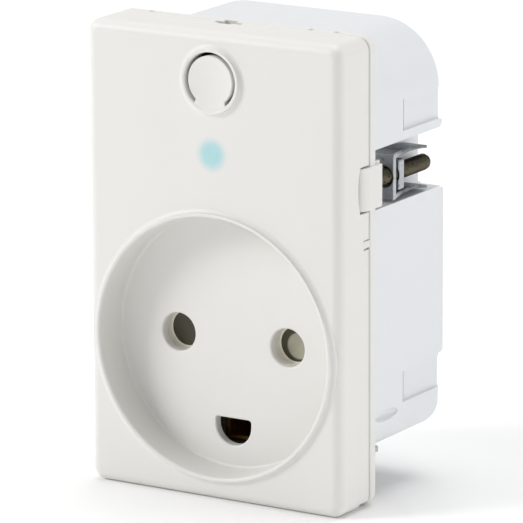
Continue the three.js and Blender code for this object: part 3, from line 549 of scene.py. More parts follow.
def coverShape(c):
    f = faceY
    outline = roundedBox(-halfWide, halfWide, -halfTall, halfTall, c["corner"], steps=12)
    front = roundedMouth(0, f, c["fillet"], 10)
    shell = makeObject("cover_shell", slab(outline, front + [(0, c["back"] - 0.12), (0.12, c["back"])]))
    wide, tall = halfWide - c["sideWall"], halfTall - c["sideWall"]
    combine(shell, "DIFFERENCE", slab(roundedBox(-wide, wide, -tall, tall, 0.9, steps=6),
                                      [(0.6, f + c["faceWall"]), (0, f + c["faceWall"] + 0.6),
                                       (0, c["back"] + 1)]))
    # the cup behind the recess, and the rounded lip that stands proud of the face round it
    r = c["recessRadius"]
    cup = lathe(0, socketZ, [(r + c["cupWall"], f + 0.5), (r + c["cupWall"], c["floorBack"] - 0.3),
                             (r + c["cupWall"] - 0.3, c["floorBack"])], 144)
    width, height = c["lipWidth"], c["lipHeight"]
    lip = lathe(0, socketZ, [(r + width, f + 0.9)] + softRise(r + width, 0.62 * width, height)
                + [(r, f - height)], 144)
    # the button's ring, a soft raised rim
    outer, top = c["ringRadius"], c["ringTop"]
    ring = lathe(0, buttonZ, [(outer, f + 0.5)] + softRise(outer, outer - top, c["ringHeight"])
                 + [(top - 0.2, f - c["ringHeight"])], 96)
    rib = block(-c["ribHalf"], c["ribHalf"], f + c["faceWall"] - 0.2, f + c["ribBack"],
                c["ribLow"], c["ribHigh"])
    collar = [(c["collar"], c["floorBack"] - 0.4), (c["collar"], c["collarBack"] - 0.1),
              (c["collar"] - 0.1, c["collarBack"])]
    collars = [lathe(side * pinX, socketZ, collar, 64) for side in (-1, 1)]
    combine(shell, "UNION", cup, lip, ring, rib, *collars)
    # the recess: rounded rim, slightly drafted wall, rounded foot
    rim, foot = c["rimRound"], c["floorRound"]
    flare = roundedMouth(r, f - height, rim, 7)
    base = [(r - c["draft"] - foot + x, c["floor"] - foot + y) for x, y in corner(0, 0, foot, 0, 90, 7)]
    combine(shell, "DIFFERENCE", lathe(0, socketZ, [(r + rim, f - 3)] + flare + base, 144))
    # pin holes and earth hole, each with a small flare at the recess floor
    flareSize = c["pinFlare"]
    mouth = roundedMouth(0, c["floor"], flareSize, 5)
    pins = [lathe(side * pinX, socketZ, [(c["pinRadius"] + flareSize, c["floor"] - 1)]
                  + [(c["pinRadius"] + inset, y) for inset, y in mouth]
                  + [(c["pinRadius"], c["floorBack"] + 1)], 64) for side in (-1, 1)]
    half, bend = c["earthHalf"], c["earthBend"]
    lowZ = c["earthTop"] - c["earthStraight"]
    earthLoop = arcLoop([(0, lowZ, half, 180, 270), (0, lowZ, half, 270, 360),
                         (half - bend, c["earthTop"] - bend, bend, 0, 90),
                         (-half + bend, c["earthTop"] - bend, bend, 90, 180)], 10)
    earth = slab(earthLoop, [(-flareSize, c["floor"] - 1)] + [(-inset, y) for inset, y in mouth]
                 + [(0, c["floorBack"] + 1)])
    rounding = c["holeRound"]
    edge = roundedMouth(c["holeRadius"], f - c["ringHeight"], rounding, 6)
    hole = lathe(0, buttonZ, [(c["holeRadius"] + rounding, f - 2)] + edge
                 + [(c["holeRadius"], f + c["faceWall"] + 1)], 96)
    lightWell = lathe(0, lightZ, [(lightRadius + 0.3, f + 0.9), (lightRadius + 0.3, f + 4)], 40)
    combine(shell, "DIFFERENCE", *pins, earth, hole, lightWell)
    # latch windows with bowed front edges, a nib notch each side, the lever slot and a foot notch
    z0, z1 = (clawZ + way * c["windowHeight"] / 2 + way * c["windowGap"] for way in (-1, 1))
    across = np.linspace(z0, z1, 13)
    bow = c["windowFront"] + c["windowBow"] * ((across - clawZ) / (z1 - clawZ)) ** 2
    for side in (-1, 1):
        low, high = span(side, halfWide - c["windowDepth"], halfWide + 1)
        outlineY = np.concatenate([bow, np.full(2, c["back"] + 1)])
        outlineZ = np.concatenate([across, [z1, z0]])
        window = np.stack([np.stack([np.full(15, x), outlineY, outlineZ], 1) for x in (low, high)])
        inset, front, lowZ, highZ = c["nibNotch"]
        nib = block(*span(side, halfWide - inset, halfWide + 1), front, c["back"] + 1, lowZ, highZ)
        inset, front, height = c["footNotch"]
        foot = block(*span(side, halfWide - inset, halfWide + 1), front, c["back"] + 1,
                     -halfTall - 1, -halfTall + height)
        combine(shell, "DIFFERENCE", window, nib, foot)
    x0, x1, front, depth = c["leverSlot"]
    slot = slab(roundedBox(x0, x1, halfTall - depth, halfTall + 1, 0.05, steps=2),
                [(0, front), (0, c["back"] + 1)])
    x0, x1, front, depth = c["leverNotch"]
    notch = block(x0, x1, front, c["back"] + 1, halfTall - depth, halfTall + 1)
    combine(shell, "DIFFERENCE", slot, notch)
    smoothSides(shell)
    return shell


coverShell = coverShape(cover)
place(coverShell, coverPlastic, "insert", "ivory_plastic", "front_cover")
print("cover:", len(coverShell.data.polygons), "faces")


# ---- push button: a dished disc that hangs on a root at its foot, and the arm and stem behind it
button = {"radius": 3.8, "rootRadius": 4.5, "rootHalfAngle": 39.0, "dish": 0.34, "sink": -0.4,
          "thickness": 1.2, "rise": 0.12, "edge": 0.16, "climbFrom": 3.3,
          "armWidth": 4.4}


def buttonShape(b):
    # polar grid: radius is u times the rim, the rim steps out over the root's angle, and the top sinks by
    # dish times (1 - (r / radius)^2) and climbs to the ring near the root
    angle = np.linspace(-np.pi / 2, 1.5 * np.pi, 192, endpoint=False)
    away = np.degrees(np.abs((angle + np.pi / 2 + np.pi) % (2 * np.pi) - np.pi))
    weight = ease(np.clip((b["rootHalfAngle"] + 1.5 - away) / 3.0, 0, 1))
    rim = b["radius"] + (b["rootRadius"] - b["radius"]) * weight
    u = np.concatenate([np.linspace(0.02, 0.93, 16), 1 - 0.06 * np.cos(np.linspace(0.2, np.pi / 2, 6))])
    radius = u[:, None] * rim[None]
    bowl = b["dish"] * np.clip(1 - (radius / b["radius"]) ** 2, 0, 1)
    climb = np.clip((radius - b["climbFrom"]) / (b["rootRadius"] - b["climbFrom"]), 0, 1)
    climb = ease(climb) * b["rise"] * weight[None]
    inEdge = np.clip((radius - rim[None] + b["edge"]) / b["edge"], 0, 1)
    drop = b["edge"] * (1 - np.sqrt(1 - inEdge ** 2)) * (1 - weight[None])
    top = faceY + b["sink"] + bowl - climb + drop
    bottom = np.full((2, len(angle)), faceY + b["thickness"])
    spread = np.concatenate([radius, np.stack([rim * 0.98, rim * 0.02])])
    depth = np.concatenate([top, bottom])
    rings = np.stack([spread * np.cos(angle), depth, buttonZ + spread * np.sin(angle)], 2)
    cap = makeObject("button_cap", rings)
    smoothSides(cap, 40)
    return cap


def buttonArmShape(b):
    half = b["armWidth"] / 2
    armZ0, armZ1 = tongueLow[2], buttonZ + 1.6
    armFront, armBack = tongueHigh[1] - 1.4, tongueHigh[1] - 0.6
    arm = makeObject("button_arm", slab(roundedBox(-half, half, armZ0, armZ1, 0.6, 1.6, 7),
                                        ends(armFront, armBack, 0.12)))
    neck = lathe(0, buttonZ, [(b["radius"] - 0.7, faceY + b["thickness"] - 0.1),
                              (b["radius"] - 0.7, armFront + 0.05)], 48)
    stem = lathe(0, buttonZ, [(1.3, armBack - 0.1), (1.0, armBack + 0.2), (1.0, tongueHigh[1] - 0.15),
                              (0.85, tongueHigh[1])], 32)
    combine(arm, "UNION", neck, stem)
    smoothSides(arm)
    return arm


place(buttonArmShape(button), ivoryPlastic, "button", "ivory_plastic", "button_tongue")
buttonCap = buttonShape(button)
buttonCap.data.materials.append(ivoryPlastic)
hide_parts("button_tongue")
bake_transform(buttonCap)
print("button made")


# ---- mounting frame: flange, latch tabs, nibs, windows and screw holes
flange = {"front": -1.6, "corner": 2.0, "edge": 0.14, "tabHeight": 6.4, "tabFront": -4.2, "tabBend": -2.1,
          "tabRear": 1.4, "tabSheet": 1.2, "noseRound": 1.1, "slotRear": -0.9,
          "tabEnd": 0.92, "screwHole": 1.35, "legHalf": 4.7, "guideHalf": 5.3,
          "marks": [(-16.25, -0.7), (11.5, -0.9), (15.7, -0.7)]}


def flangeShape(p):
    edge = p["edge"]
    outline = roundedBox(-halfWide, halfWide, -halfTall, halfTall, p["corner"], steps=10)
    plate = makeObject("mounting_plate", slab(outline, ends(p["front"], 0, edge)))
    tabX = plateHigh[0]
    low, high = clawZ - p["tabHeight"] / 2, clawZ + p["tabHeight"] / 2
    nose = p["tabBend"] - p["tabFront"]
    bend = [(tabX - p["noseRound"] * (1 - math.sin(a)), p["tabBend"] - nose * math.cos(a))
            for a in np.linspace(0.05, np.pi / 2, 9)]
    shape = bend + [(tabX, p["tabRear"] - 0.15), (tabX - 0.15, p["tabRear"]),
                    (tabX - p["tabSheet"], p["tabRear"]), (tabX - p["tabSheet"], p["tabFront"] + 0.1)]
    for side in (-1, 1):
        flat = np.array([(side * x, y) for x, y in shape])
        sizes = [(low, p["tabEnd"]), (low + 0.15, 1.0), (high - 0.15, 1.0), (high, p["tabEnd"])]
        middle = flat.mean(0)
        tab = np.stack([np.column_stack([middle + (flat - middle) * k, np.full(len(flat), z)])
                        for z, k in sizes])
        nib = block(*span(side, halfWide - 1.2, halfWide - 0.12), -3.3, p["front"] + 0.3, 4.15, 5.25, 0.08)
        seat = block(*span(side, 18.0, halfWide - 0.5), -0.2, 2.0, clawZ - 3.5, clawZ + 3.5, 0.1)
        combine(plate, "UNION", tab, nib, seat)
        hole = lathe(side * clawX, clawZ, [(1.9, -3), (1.9, -0.35), (1.5, -0.3), (1.5, 3)], 40)
        combine(plate, "DIFFERENCE", hole)
    # openings for the socket insert, its leg and the light guide: half width, low Z, high Z, corner
    z0 = socketZ - 6.8
    for half, low, high, bend in ((socketHigh[0] + 0.3, z0, socketHigh[2] + 0.3, 0.5),
                                  (p["legHalf"], socketLow[2] - 0.3, z0 + 1, 0.5),
                                  (p["guideHalf"], lightZ - 3.95, lightZ - 0.85, 0.3)):
        combine(plate, "DIFFERENCE", slab(roundedBox(-half, half, low, high, bend, steps=4),
                                          [(0, -3), (0, 1)]))
    for x, z in screwPlaces:
        combine(plate, "DIFFERENCE", lathe(x, z, [(p["screwHole"], -3), (p["screwHole"], 1)], 24))
    for x, y in p["marks"]:
        combine(plate, "DIFFERENCE", block(x - 0.42, x + 0.42, y - 0.3, y + 0.3, halfTall - 0.6,
                                           halfTall + 1))
    combine(plate, "DIFFERENCE", block(-3.1, -0.9, p["front"] - 1, p["slotRear"], halfTall - 1.1,
                                       halfTall + 1))
    smoothSides(plate)
    return plate


flangePlate = place(flangeShape(flange), ivoryPlastic, "insert", "ivory_plastic", "mounting_frame")
print("mounting frame:", len(flangePlate.data.polygons), "faces")


# ---- rear housing
housing = {"topCorner": 9.9, "bottomCorner": 4.5, "wall": 1.4, "fillet": 1.2, "bottom": -27.9,
           "rear": 19.9,
           "padLow": -16.9, "padFillet": 0.7, "padCorner": 1.0, "grooveY": 9.3, "grooveWidth": 0.4,
           "bayHalf": 6.5, "pocketX": 17.7, "pocketLow": 9.2, "pocketHigh": 18.2, "pocketWall": 1.1,
           "recessY": 8.5, "recessDepth": 0.6, "recesses": [(19.5, 24.3), (-21.7, -16.9)],
            "bossRadius": 2.2, "screwHole": 1.35, "keyGap": 0.3, "portSpread": 1.75, "portDrop": 2.8,
           "portRadius": 1.6, "portMouth": 1.95,
           "scoopAt": (0.15, 3.7, -22.5), "scoopSize": (0.95, 3.4, 0.85),
           "label": (-12.5, 12.5, 13.0, 28.0)}


def filletEnd(size, rear, steps=8):
    # profile of a rounded rear edge: a quarter circle of radius size
    return [(size - size * math.cos(a), rear - size + size * math.sin(a))
            for a in np.linspace(0, np.pi / 2, steps)]


def housingShape(h):
    front, rear, top = shellLow[1], h["rear"], shellHigh[2]
    padRear = shellHigh[1]
    wide = shellHigh[0]
    bayLow = shellLow[2]
    body = roundedBox(-wide, wide, h["bottom"], top, h["bottomCorner"], h["topCorner"], 16)
    bay = roundedBox(-h["bayHalf"], h["bayHalf"], bayLow, h["bottom"] + 6, 2.0, steps=8)
    shell = makeObject("housing_shell", slab(body, [(0.1, front), (0, front + 0.1)]
                                             + filletEnd(h["fillet"], rear)))
    pad = roundedBox(-wide, wide, h["padLow"], h["pocketLow"], h["padCorner"], steps=6)
    combine(shell, "UNION", slab(bay, [(0, front)] + filletEnd(h["fillet"], rear)),
            slab(pad, [(0, 2.0)] + filletEnd(h["padFillet"], padRear, 6)))
    w = h["wall"]
    inner = roundedBox(-wide + w, wide - w, h["bottom"] + w, top - w, h["bottomCorner"] - w,
                       h["topCorner"] - w, 12)
    innerBay = roundedBox(-h["bayHalf"] + w, h["bayHalf"] - w, bayLow + w, h["bottom"] + 6, 0.6, steps=5)
    combine(shell, "DIFFERENCE", slab(inner, [(0, front - 3), (0, rear - w)]),
            slab(innerBay, [(0, front - 3), (0, rear - w)]))
    for side in (-1, 1):
        x0, x1 = span(side, h["pocketX"] - h["pocketWall"], wide - 0.02)
        combine(shell, "UNION", block(x0, x1, front, rear - 0.02, h["pocketLow"] - h["pocketWall"],
                                      h["pocketHigh"] + h["pocketWall"]))
        x0, x1 = span(side, h["pocketX"], wide + 2)
        pocket = slab(roundedBox(x0, x1, h["pocketLow"], h["pocketHigh"], 0.35, steps=5),
                      [(0, front - 2), (0, rear - 0.5), (-0.5, rear), (-0.5, rear + 2)])
        combine(shell, "DIFFERENCE", pocket)
        for z0, z1 in h["recesses"]:
            x0, x1 = span(side, wide - h["recessDepth"], wide + 1)
            g0, g1 = span(side, wide - h["recessDepth"] - 0.45, wide + 1)
            groove = block(g0, g1, h["grooveY"], h["grooveY"] + h["grooveWidth"], z0 + 0.02, z1 - 0.02)
            combine(shell, "DIFFERENCE", block(x0, x1, h["recessY"], rear + 2, z0, z1), groove)
    for x, z in screwPlaces:
        boss, hole = h["bossRadius"], h["screwHole"]
        combine(shell, "UNION", lathe(x, z, [(boss, front), (boss, rear - w + 0.2)], 32))
        combine(shell, "DIFFERENCE", lathe(x, z, [(hole, -1), (hole, 11)], 24))
    # scoops low on each side, and the terminal openings in the rear wall
    turn = np.linspace(0.04, np.pi - 0.04, 15)
    around = np.linspace(0, 2 * np.pi, 32, endpoint=False)
    (outside, midY, midZ), (reachX, reachY, reachZ) = h["scoopAt"], h["scoopSize"]
    for side in (-1, 1):
        scoop = np.stack([side * (wide + outside) + reachX * np.sin(turn)[:, None] * np.cos(around),
                          np.broadcast_to(midY - reachY * np.cos(turn)[:, None], (15, 32)),
                          midZ + reachZ * np.sin(turn)[:, None] * np.sin(around)], 2)
        combine(shell, "DIFFERENCE", scoop)
    for tag in ("neutral", "earth", "live"):
        keyLow, keyHigh = boxOf(f"release_button_{tag}")
        x = (keyLow[0] + keyHigh[0]) / 2
        gap, radius = h["keyGap"], h["portRadius"]
        port = [(radius, rear - 4), (radius, padRear - 0.3), (h["portMouth"], padRear + 0.1)]
        ports = [lathe(x + side * h["portSpread"], keyLow[2] - h["portDrop"], port, 32)
                 for side in (-1, 1)]
        slot = slab(roundedBox(keyLow[0] - gap, keyHigh[0] + gap, keyLow[2] - gap, keyHigh[2] + gap, 0.35,
                               steps=5), [(0, rear - 4), (0, padRear - 0.25), (-0.3, padRear + 0.1)])
        combine(shell, "DIFFERENCE", *ports, slot)
    x0, x1, z0, z1 = h["label"]
    combine(shell, "DIFFERENCE", slab(roundedBox(x0, x1, z0, z1, 1.0, steps=6),
                                      [(0.15, rear - 0.25), (0, rear + 0.5)]))
    smoothSides(shell)
    return shell


housingShell = place(housingShape(housing), housingPlastic, "insert", "housing_plastic", "rear_housing")
print("housing:", len(housingShell.data.polygons), "faces")


# ---- claws: sprung bracket, threaded screw and square nut on each side
claw = {"inner": 17.95, "outer": 21.4, "sheet": 0.8, "webFront": 5.9, "low": 9.5, "high": 16.5,
        "tipY": 16.0, "screwRadius": 1.25, "headRadius": 1.65, "headFront": -1.45, "headBack": -0.65,
        "screwEnd": 18.3, "pitch": 0.6, "threadDepth": 0.3, "nutFront": 7.7, "nutRear": 9.2,
        "nutLow": 10.7, "nutHigh": 15.3}


def bladeShape(c, points, thickness):
    # a blade that follows a quadratic curve in Y and Z; the section is a thin rounded strip in X, and the
    # thickness goes down evenly from root to tip
    t = np.linspace(0, 1, 28)[:, None]
    p0, p1, p2 = (np.array(p, float) for p in points)
    path = (1 - t) ** 2 * p0 + 2 * t * (1 - t) * p1 + t ** 2 * p2
    along = np.gradient(path, axis=0)
    along /= np.linalg.norm(along, axis=1, keepdims=True)
    normal = np.stack([-along[:, 1], along[:, 0]], 1)
    half = (thickness[0] + (thickness[1] - thickness[0]) * t) / 2
    outline, _ = roundedBox(-1, 1, -1, 1, 0.5, steps=4)
    middle, reach = (c["inner"] + c["outer"]) / 2, (c["outer"] - c["inner"]) / 2
    taper = 1 - 0.12 * np.clip((t - 0.75) / 0.25, 0, 1) ** 2
    x = middle + (reach - 0.12 * (1 - np.abs(outline[:, 0]) ** 8)) * np.sign(outline[:, 0]) * taper
    offset = half * outline[:, 1]
    return np.stack([np.broadcast_to(x, offset.shape), path[:, :1] + normal[:, :1] * offset,
                     path[:, 1:] + normal[:, 1:] * offset], 2)


def clawShape(c, side, name):
    web = slab(roundedBox(c["inner"], c["outer"], c["low"], c["high"], 0.3, steps=5),
               ends(c["webFront"], c["webFront"] + c["sheet"], 0.1))
    mid = c["sheet"] / 2
    upper = bladeShape(c, [(c["webFront"] + 0.15, c["high"] - mid), (11.5, c["high"] - mid + 0.7),
                           (c["tipY"], c["high"] - mid - 0.35)], (c["sheet"], 0.45))
    lower = bladeShape(c, [(c["webFront"] + 0.15, c["low"] + mid), (11.0, c["low"] + mid + 1.2),
                           (c["tipY"], c["low"] + 0.2)], (c["sheet"] - 0.1, 0.45))
    made = makeObject(name, web)
    combine(made, "UNION", upper, lower)
    hole = lathe(clawX, clawZ, [(1.75, 0), (1.75, c["webFront"]),
                                (1.5, c["webFront"] + 0.2), (1.5, 8)], 48)
    combine(made, "DIFFERENCE", hole)
    return mirrored(made, side)


def mirrored(thing, side):
    # the left copy: X turned round, and each face's order turned back so that it points outwards
    if side < 0:
        thing.data.transform(Matrix.Diagonal((-1, 1, 1, 1)))
        thing.data.flip_normals()
    return thing


def screwShape(c, side, name):
    # thread: the radius falls from the crest by depth times a wave that climbs one pitch in each turn
    turns = (c["screwEnd"] - 0.6 - c["headBack"]) / c["pitch"]
    rows, cols = int(turns * 8), 40
    y = np.linspace(c["headBack"], c["screwEnd"] - 0.3, rows)[:, None]
    angle = np.linspace(0, 2 * np.pi, cols, endpoint=False)[None]
    phase = (y / c["pitch"] + angle / (2 * np.pi)) % 1
    wave = np.abs(2 * phase - 1)
    fadeIn = np.clip((y - c["headBack"]) / 1.2, 0, 1)
    fadeOut = np.clip((c["screwEnd"] - y) / 0.8, 0, 1)
    radius = c["screwRadius"] - c["threadDepth"] * np.clip(1.25 * wave - 0.12, 0, 1) * fadeIn
    radius = np.minimum(radius, c["screwRadius"] - 0.35 * (1 - fadeOut))
    thread = np.stack([clawX + radius * np.cos(angle), np.broadcast_to(y, radius.shape),
                       clawZ + radius * np.sin(angle)], 2)
    end = lathe(clawX, clawZ, [(c["screwRadius"] - 0.33, c["screwEnd"] - 0.12),
                               (c["screwRadius"] - 0.42, c["screwEnd"])], cols)
    made = makeObject(name, np.concatenate([thread, end]))
    r = c["headRadius"]
    head = lathe(clawX, clawZ, [(r - 0.25, c["headFront"]), (r - 0.08, c["headFront"] + 0.08),
                                (r, c["headFront"] + 0.25), (r, c["headBack"] + 0.05)], 48)
    combine(made, "UNION", head)
    slot = block(clawX - 3, clawX + 3, c["headFront"] - 1, c["headBack"] - 0.4,
                 clawZ - 0.25, clawZ + 0.25)
    combine(made, "DIFFERENCE", slot)
    return mirrored(made, side)


def nutShape(c, side, name):
    plate = slab(roundedBox(c["inner"], c["outer"] - 0.1, c["nutLow"], c["nutHigh"], 0.35, steps=5),
                 ends(c["nutFront"], c["nutRear"], 0.15))
    made = makeObject(name, plate)
    hole = lathe(clawX, clawZ, [(1.7, c["nutFront"] - 1), (1.7, c["nutFront"] + 0.05),
                                (1.45, c["nutFront"] + 0.3), (1.45, c["nutRear"] - 0.3),
                                (1.7, c["nutRear"] - 0.05), (1.7, c["nutRear"] + 1)], 48)
    combine(made, "DIFFERENCE", hole)
    return mirrored(made, side)


def prongShadeFinish(look):
    # plated spring steel, with painted shade and painted dark reflection darkening the prongs from the bend along
    # their length
    material = metal("prongShadeSteel", zincLook)
    tree, shader, plated, coords = opened(material)
    split = addNode(tree, "ShaderNodeSeparateXYZ")
    tree.links.new(coords, split.inputs[0])
    along = addNode(tree, "ShaderNodeMapRange", {"From Min": look["startY"] * mm,
                                                 "From Max": look["fullY"] * mm})
    tree.links.new(split.outputs["Y"], along.inputs["Value"])
    cloudy = mathNode(tree, "MULTIPLY_ADD", noise(tree, coords, 1100.0, 4.0), 0.7, look["amount"])
    # painted shade and painted dark reflection: the prongs darker from the bend back, in patches
    paintedShade = mathNode(tree, "MULTIPLY", along.outputs["Result"], cloudy)
    tree.links.new(mixColour(tree, paintedShade, plated, rgb(*look["dark"])), shader.inputs["Base Color"])
    return material


# painted shade and painted dark reflection on the prongs behind the bend
prongShadeSteel = prongShadeFinish({"startY": 6.7, "fullY": 8.5, "amount": 0.4, "dark": (78, 80, 84)})

for side, label in ((1, "right"), (-1, "left")):
    blade = clawShape(claw, side, f"claw_blade_{label}")
    smoothSides(blade)
    place(blade, prongShadeSteel, f"claw_bracket_{label}", "zinc_steel", f"claw_bracket_{label}")
    bolt = screwShape(claw, side, f"claw_bolt_{label}")
    smoothSides(bolt, 28)
    place(bolt, darkSteel, f"claw_screw_{label}", "dark_steel", f"claw_screw_{label}")
    nut = nutShape(claw, side, f"claw_plate_{label}")
    smoothSides(nut)
    place(nut, zincSteel, f"claw_nut_{label}", "zinc_steel", f"claw_nut_{label}")
print("claws made")


# ---- small retaining clips: short strips just outside the housing's lower corners
def clipShape(side, label):
    low, high = boxOf(f"retaining_clip_{label}")
    strip = slab(roundedBox(low[0], high[0], low[2], high[2], 0.25, steps=5),
                 [(0.1, low[1]), (0, low[1] + 0.1), (0, high[1] - 0.2), (0.2, high[1])])
    made = makeObject(f"clip_{label}", strip)
    combine(made, "DIFFERENCE", lathe(side * (abs(low[0] + high[0]) / 2), low[2] - 0.25,
                                      [(0.45, low[1] - 1), (0.45, high[1] + 1)], 32))
    smoothSides(made)
    return place(made, zincSteel, "insert", "zinc_steel", f"retaining_clip_{label}")


for side, label in ((1, "right"), (-1, "left")):
    clipShape(side, label)


# ---- shutter: a plate with a round cup behind each pin hole, and its return spring
shutterLow, shutterHigh = boxOf("shutter")
shutter = {"edge": 0.15, "cupRadius": 2.9, "cupDepth": 0.95, "cupRound": 0.3, "wallFrom": 2.62,
           "fade": 0.08, "paleColour": (186, 182, 164), "wallColour": (240, 236, 222),
           "paleShift": (0.4, -0.25), "paleRadius": 1.8, "paleFade": 0.35, "dishDepth": 0.12}


def shutterShape(s):
    plate = makeObject("shutter_plate", slab(
        roundedBox(shutterLow[0], shutterHigh[0], shutterLow[2], shutterHigh[2], 0.6, steps=6),
        ends(shutterLow[1], shutterHigh[1], s["edge"])))
    foot, bend = shutterLow[1] + s["cupDepth"], s["cupRound"]
    inner = s["cupRadius"] - bend
    rounded = [(inner + x, foot - bend + y) for x, y in corner(0, 0, bend, 0, 90, 6)]
    dish = [(radius, foot + s["dishDepth"] * (1 - (radius / inner) ** 2))
            for radius in (1.9, 1.2, 0.6, 0.1)]
    for side in (-1, 1):
        cup = lathe(side * pinX, socketZ, [(s["cupRadius"], shutterLow[1] - 1)] + rounded + dish, 64)
        combine(plate, "DIFFERENCE", cup)
    smoothSides(plate, 40)
    return plate


def shutterFinish(look):
    # dark moulding with pale cup walls, and a patchy pale spot a little right of and below the middle of the
    # right-hand cup
    material = plastic("shutterPlastic", darkLook)
    tree, shader, colour, coords = opened(material)
    spotX, spotZ = pinX + look["paleShift"][0], socketZ + look["paleShift"][1]
    spot = windowMask(tree, coords, (spotX, spotZ), look["paleRadius"], look["paleFade"])
    patchy = mathNode(tree, "MULTIPLY_ADD", noise(tree, coords, 700.0), 0.3, 0.75)
    paleSpot = mathNode(tree, "MULTIPLY", spot, patchy)
    colour = mixColour(tree, paleSpot, colour, rgb(*look["paleColour"]))
    for side in (-1, 1):
        inside = windowMask(tree, coords, (side * pinX, socketZ), look["wallFrom"], look["fade"])
        near = windowMask(tree, coords, (side * pinX, socketZ), look["cupRadius"] + 0.1, 0.05)
        wall = mathNode(tree, "MULTIPLY", near, mathNode(tree, "SUBTRACT", 1.0, inside))
        colour = mixColour(tree, wall, colour, rgb(*look["wallColour"]))
    tree.links.new(colour, shader.inputs["Base Color"])
    return material


place(shutterShape(shutter), shutterFinish(shutter), "shutter", "dark_plastic", "shutter")

springLow, springHigh = boxOf("shutter_spring")
spring = {"wire": 0.14, "turns": 6, "stepsPerTurn": 20, "wireSides": 8}


def springShape(s):
    # helix along Z: each ring of wire lies across the coil's own direction
    centreX, centreY = (springLow[0] + springHigh[0]) / 2, (springLow[1] + springHigh[1]) / 2
    radius = (springHigh[0] - springLow[0]) / 2 - s["wire"]
    t = np.linspace(0, 1, s["turns"] * s["stepsPerTurn"] + 1)[:, None]
    angle = 2 * np.pi * s["turns"] * t
    height = springHigh[2] - springLow[2] - 2 * s["wire"]
    outward = np.concatenate([np.cos(angle), np.sin(angle), np.zeros_like(t)], 1)
    centre = np.concatenate([centreX + radius * np.cos(angle), centreY + radius * np.sin(angle),
                             springLow[2] + s["wire"] + height * t], 1)
    along = np.gradient(centre, axis=0)
    along /= np.linalg.norm(along, axis=1, keepdims=True)
    across = np.cross(along, outward)
    around = np.linspace(0, 2 * np.pi, s["wireSides"], endpoint=False)[None, :, None]
    section = np.cos(around) * outward[:, None] + np.sin(around) * across[:, None]
    rings = centre[:, None] + s["wire"] * section
    coil = makeObject("shutter_coil", rings)
    coil.data.shade_smooth()
    return coil


shutterCoil = springShape(spring)
shutterCoil.data.materials.append(zincSteel)
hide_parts("shutter_spring")
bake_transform(shutterCoil)
print("shutter and spring made")


# ---- release keys behind the housing
def keyShape(tag):
    low, high = boxOf(f"release_button_{tag}")
    key = makeObject(f"release_key_{tag}", slab(
        roundedBox(low[0], high[0], low[2], high[2], 0.3, steps=5),
        [(0.1, low[1] + 1.1), (0, low[1] + 1.2), (0, high[1] - 0.3), (0.08, high[1] - 0.08),
         (0.3, high[1])]))
    x = (low[0] + high[0]) / 2
    z = (low[2] + high[2]) / 2
    nose = block(x - 1.2, x + 1.2, low[1], low[1] + 1.3, z - 0.3, z + 0.3)
    groove = block(x - 1.6, x + 1.6, high[1] - 0.35, high[1] + 1, z - 0.22, z + 0.22)
    combine(key, "UNION", nose)
    combine(key, "DIFFERENCE", groove)
    smoothSides(key)
    return place(key, darkPlastic, f"release_button_{tag}", "dark_plastic", f"release_button_{tag}")


for tag in ("neutral", "earth", "live"):
    keyShape(tag)
print("small pieces made")


# ---- floor, light and camera
stage = {"floorHalf": 3000.0, "floorColour": (254, 254, 254), "worldStrength": 0.42,
         "backY": 900.0, "bendRadius": 500.0, "sweepTop": 2500.0}


def floorShape(s):
    # a wide flat sheet under the cover's foot, curved up far behind like a studio sweep
    across = np.linspace(-s["floorHalf"], s["floorHalf"], 3)
    bend = np.linspace(0, np.pi / 2, 16)
    backY, radius = s["backY"], s["bendRadius"]
    y = np.concatenate([[-s["floorHalf"]], backY + radius * np.sin(bend), [backY + radius]])
    z = np.concatenate([[0], radius * (1 - np.cos(bend)), [s["sweepTop"]]]) + cadBottom
    points = np.stack([np.tile(across, len(y)), np.repeat(y, 3), np.repeat(z, 3)], 1) * mm
    index = np.arange(len(points)).reshape(len(y), 3)
    faces = np.stack([index[:-1, :-1], index[:-1, 1:], index[1:, 1:], index[1:, :-1]], 2).reshape(-1, 4)
    mesh = bpy.data.meshes.new("studio_floor")
    mesh.from_pydata(points.tolist(), [], faces.tolist())
    mesh.shade_smooth()
    sheet = bpy.data.objects.new("studio_floor", mesh)
    scene.collection.objects.link(sheet)
    material, tree, shader = newMaterial("floorPaper", {"Roughness": 0.9, "Specular IOR Level": 0.1})
    coords = objectCoords(tree)
    shader.inputs["Base Color"].default_value = rgb(*s["floorColour"])
    addBump(tree, shader, noise(tree, coords, 900.0), 0.01)
    mesh.materials.append(material)


cadBottom = coverLow[2]
floorShape(stage)


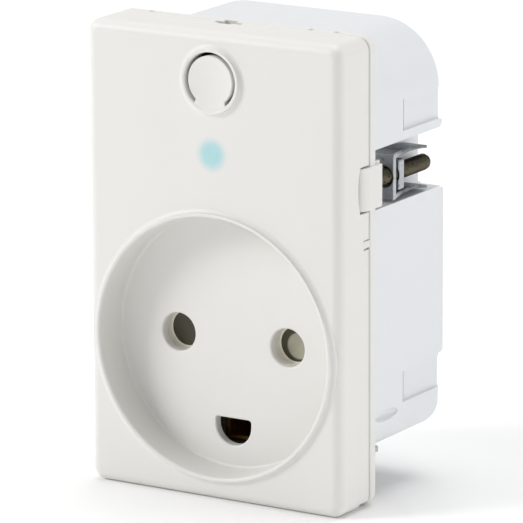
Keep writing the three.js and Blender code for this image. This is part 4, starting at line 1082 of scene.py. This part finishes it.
def softBox(name, direction, distance, size, power, colour=(1, 1, 1)):
    # a square area light at a direction from the middle of the object, facing it
    light = bpy.data.lights.new(name, "AREA")
    light.shape = "SQUARE"
    light.size = size
    light.energy = power
    light.color = colour
    lamp = bpy.data.objects.new(name, light)
    toward = Vector(direction).normalized()
    lamp.location = toward * distance
    lamp.rotation_euler = toward.to_track_quat("Z", "Y").to_euler()
    scene.collection.objects.link(lamp)


softBox("keyLight", (-0.70, -0.60, 0.50), 0.9, 0.36, 4.2)
softBox("sideFill", (0.97, 0.20, 0.2), 1.1, 0.6, 3.3, (0.985, 0.99, 1.0))
softBox("topFill", (0.0, 0.25, 1.0), 1.1, 0.8, 6.0)

world = bpy.data.worlds.new("studio")
scene.world = world
world.use_nodes = True
backdrop = world.node_tree.nodes["Background"]
backdrop.inputs["Color"].default_value = (1, 1, 1, 1)
backdrop.inputs["Strength"].default_value = stage["worldStrength"]
scene.view_settings.view_transform = "Standard"

view = {"yaw": 31.83, "pitch": 13.72, "roll": -0.281, "distance": 767.10, "lens": 362.09,
        "target": (8.459, -10.1, 2.131)}


def addCamera(v):
    yaw, pitch, roll = (math.radians(v[k]) for k in ("yaw", "pitch", "roll"))
    back = np.array([math.sin(yaw) * math.cos(pitch), -math.cos(yaw) * math.cos(pitch), math.sin(pitch)])
    right = np.cross(-back, [0, 0, 1])
    right /= np.linalg.norm(right)
    up = np.cross(right, -back)
    tiltedRight = math.cos(roll) * right + math.sin(roll) * up
    tiltedUp = math.cos(roll) * up - math.sin(roll) * right
    camera = bpy.data.cameras.new("studioCamera")
    camera.lens = v["lens"]
    camera.sensor_width = 36
    camera.clip_end = 20
    holder = bpy.data.objects.new("studioCamera", camera)
    turn = Matrix(np.column_stack([tiltedRight, tiltedUp, back]).tolist()).to_4x4()
    place = (np.array(v["target"]) + v["distance"] * back) * mm
    holder.matrix_world = Matrix.Translation(place.tolist()) @ turn
    scene.collection.objects.link(holder)
    scene.camera = holder


addCamera(view)
print("stage set")
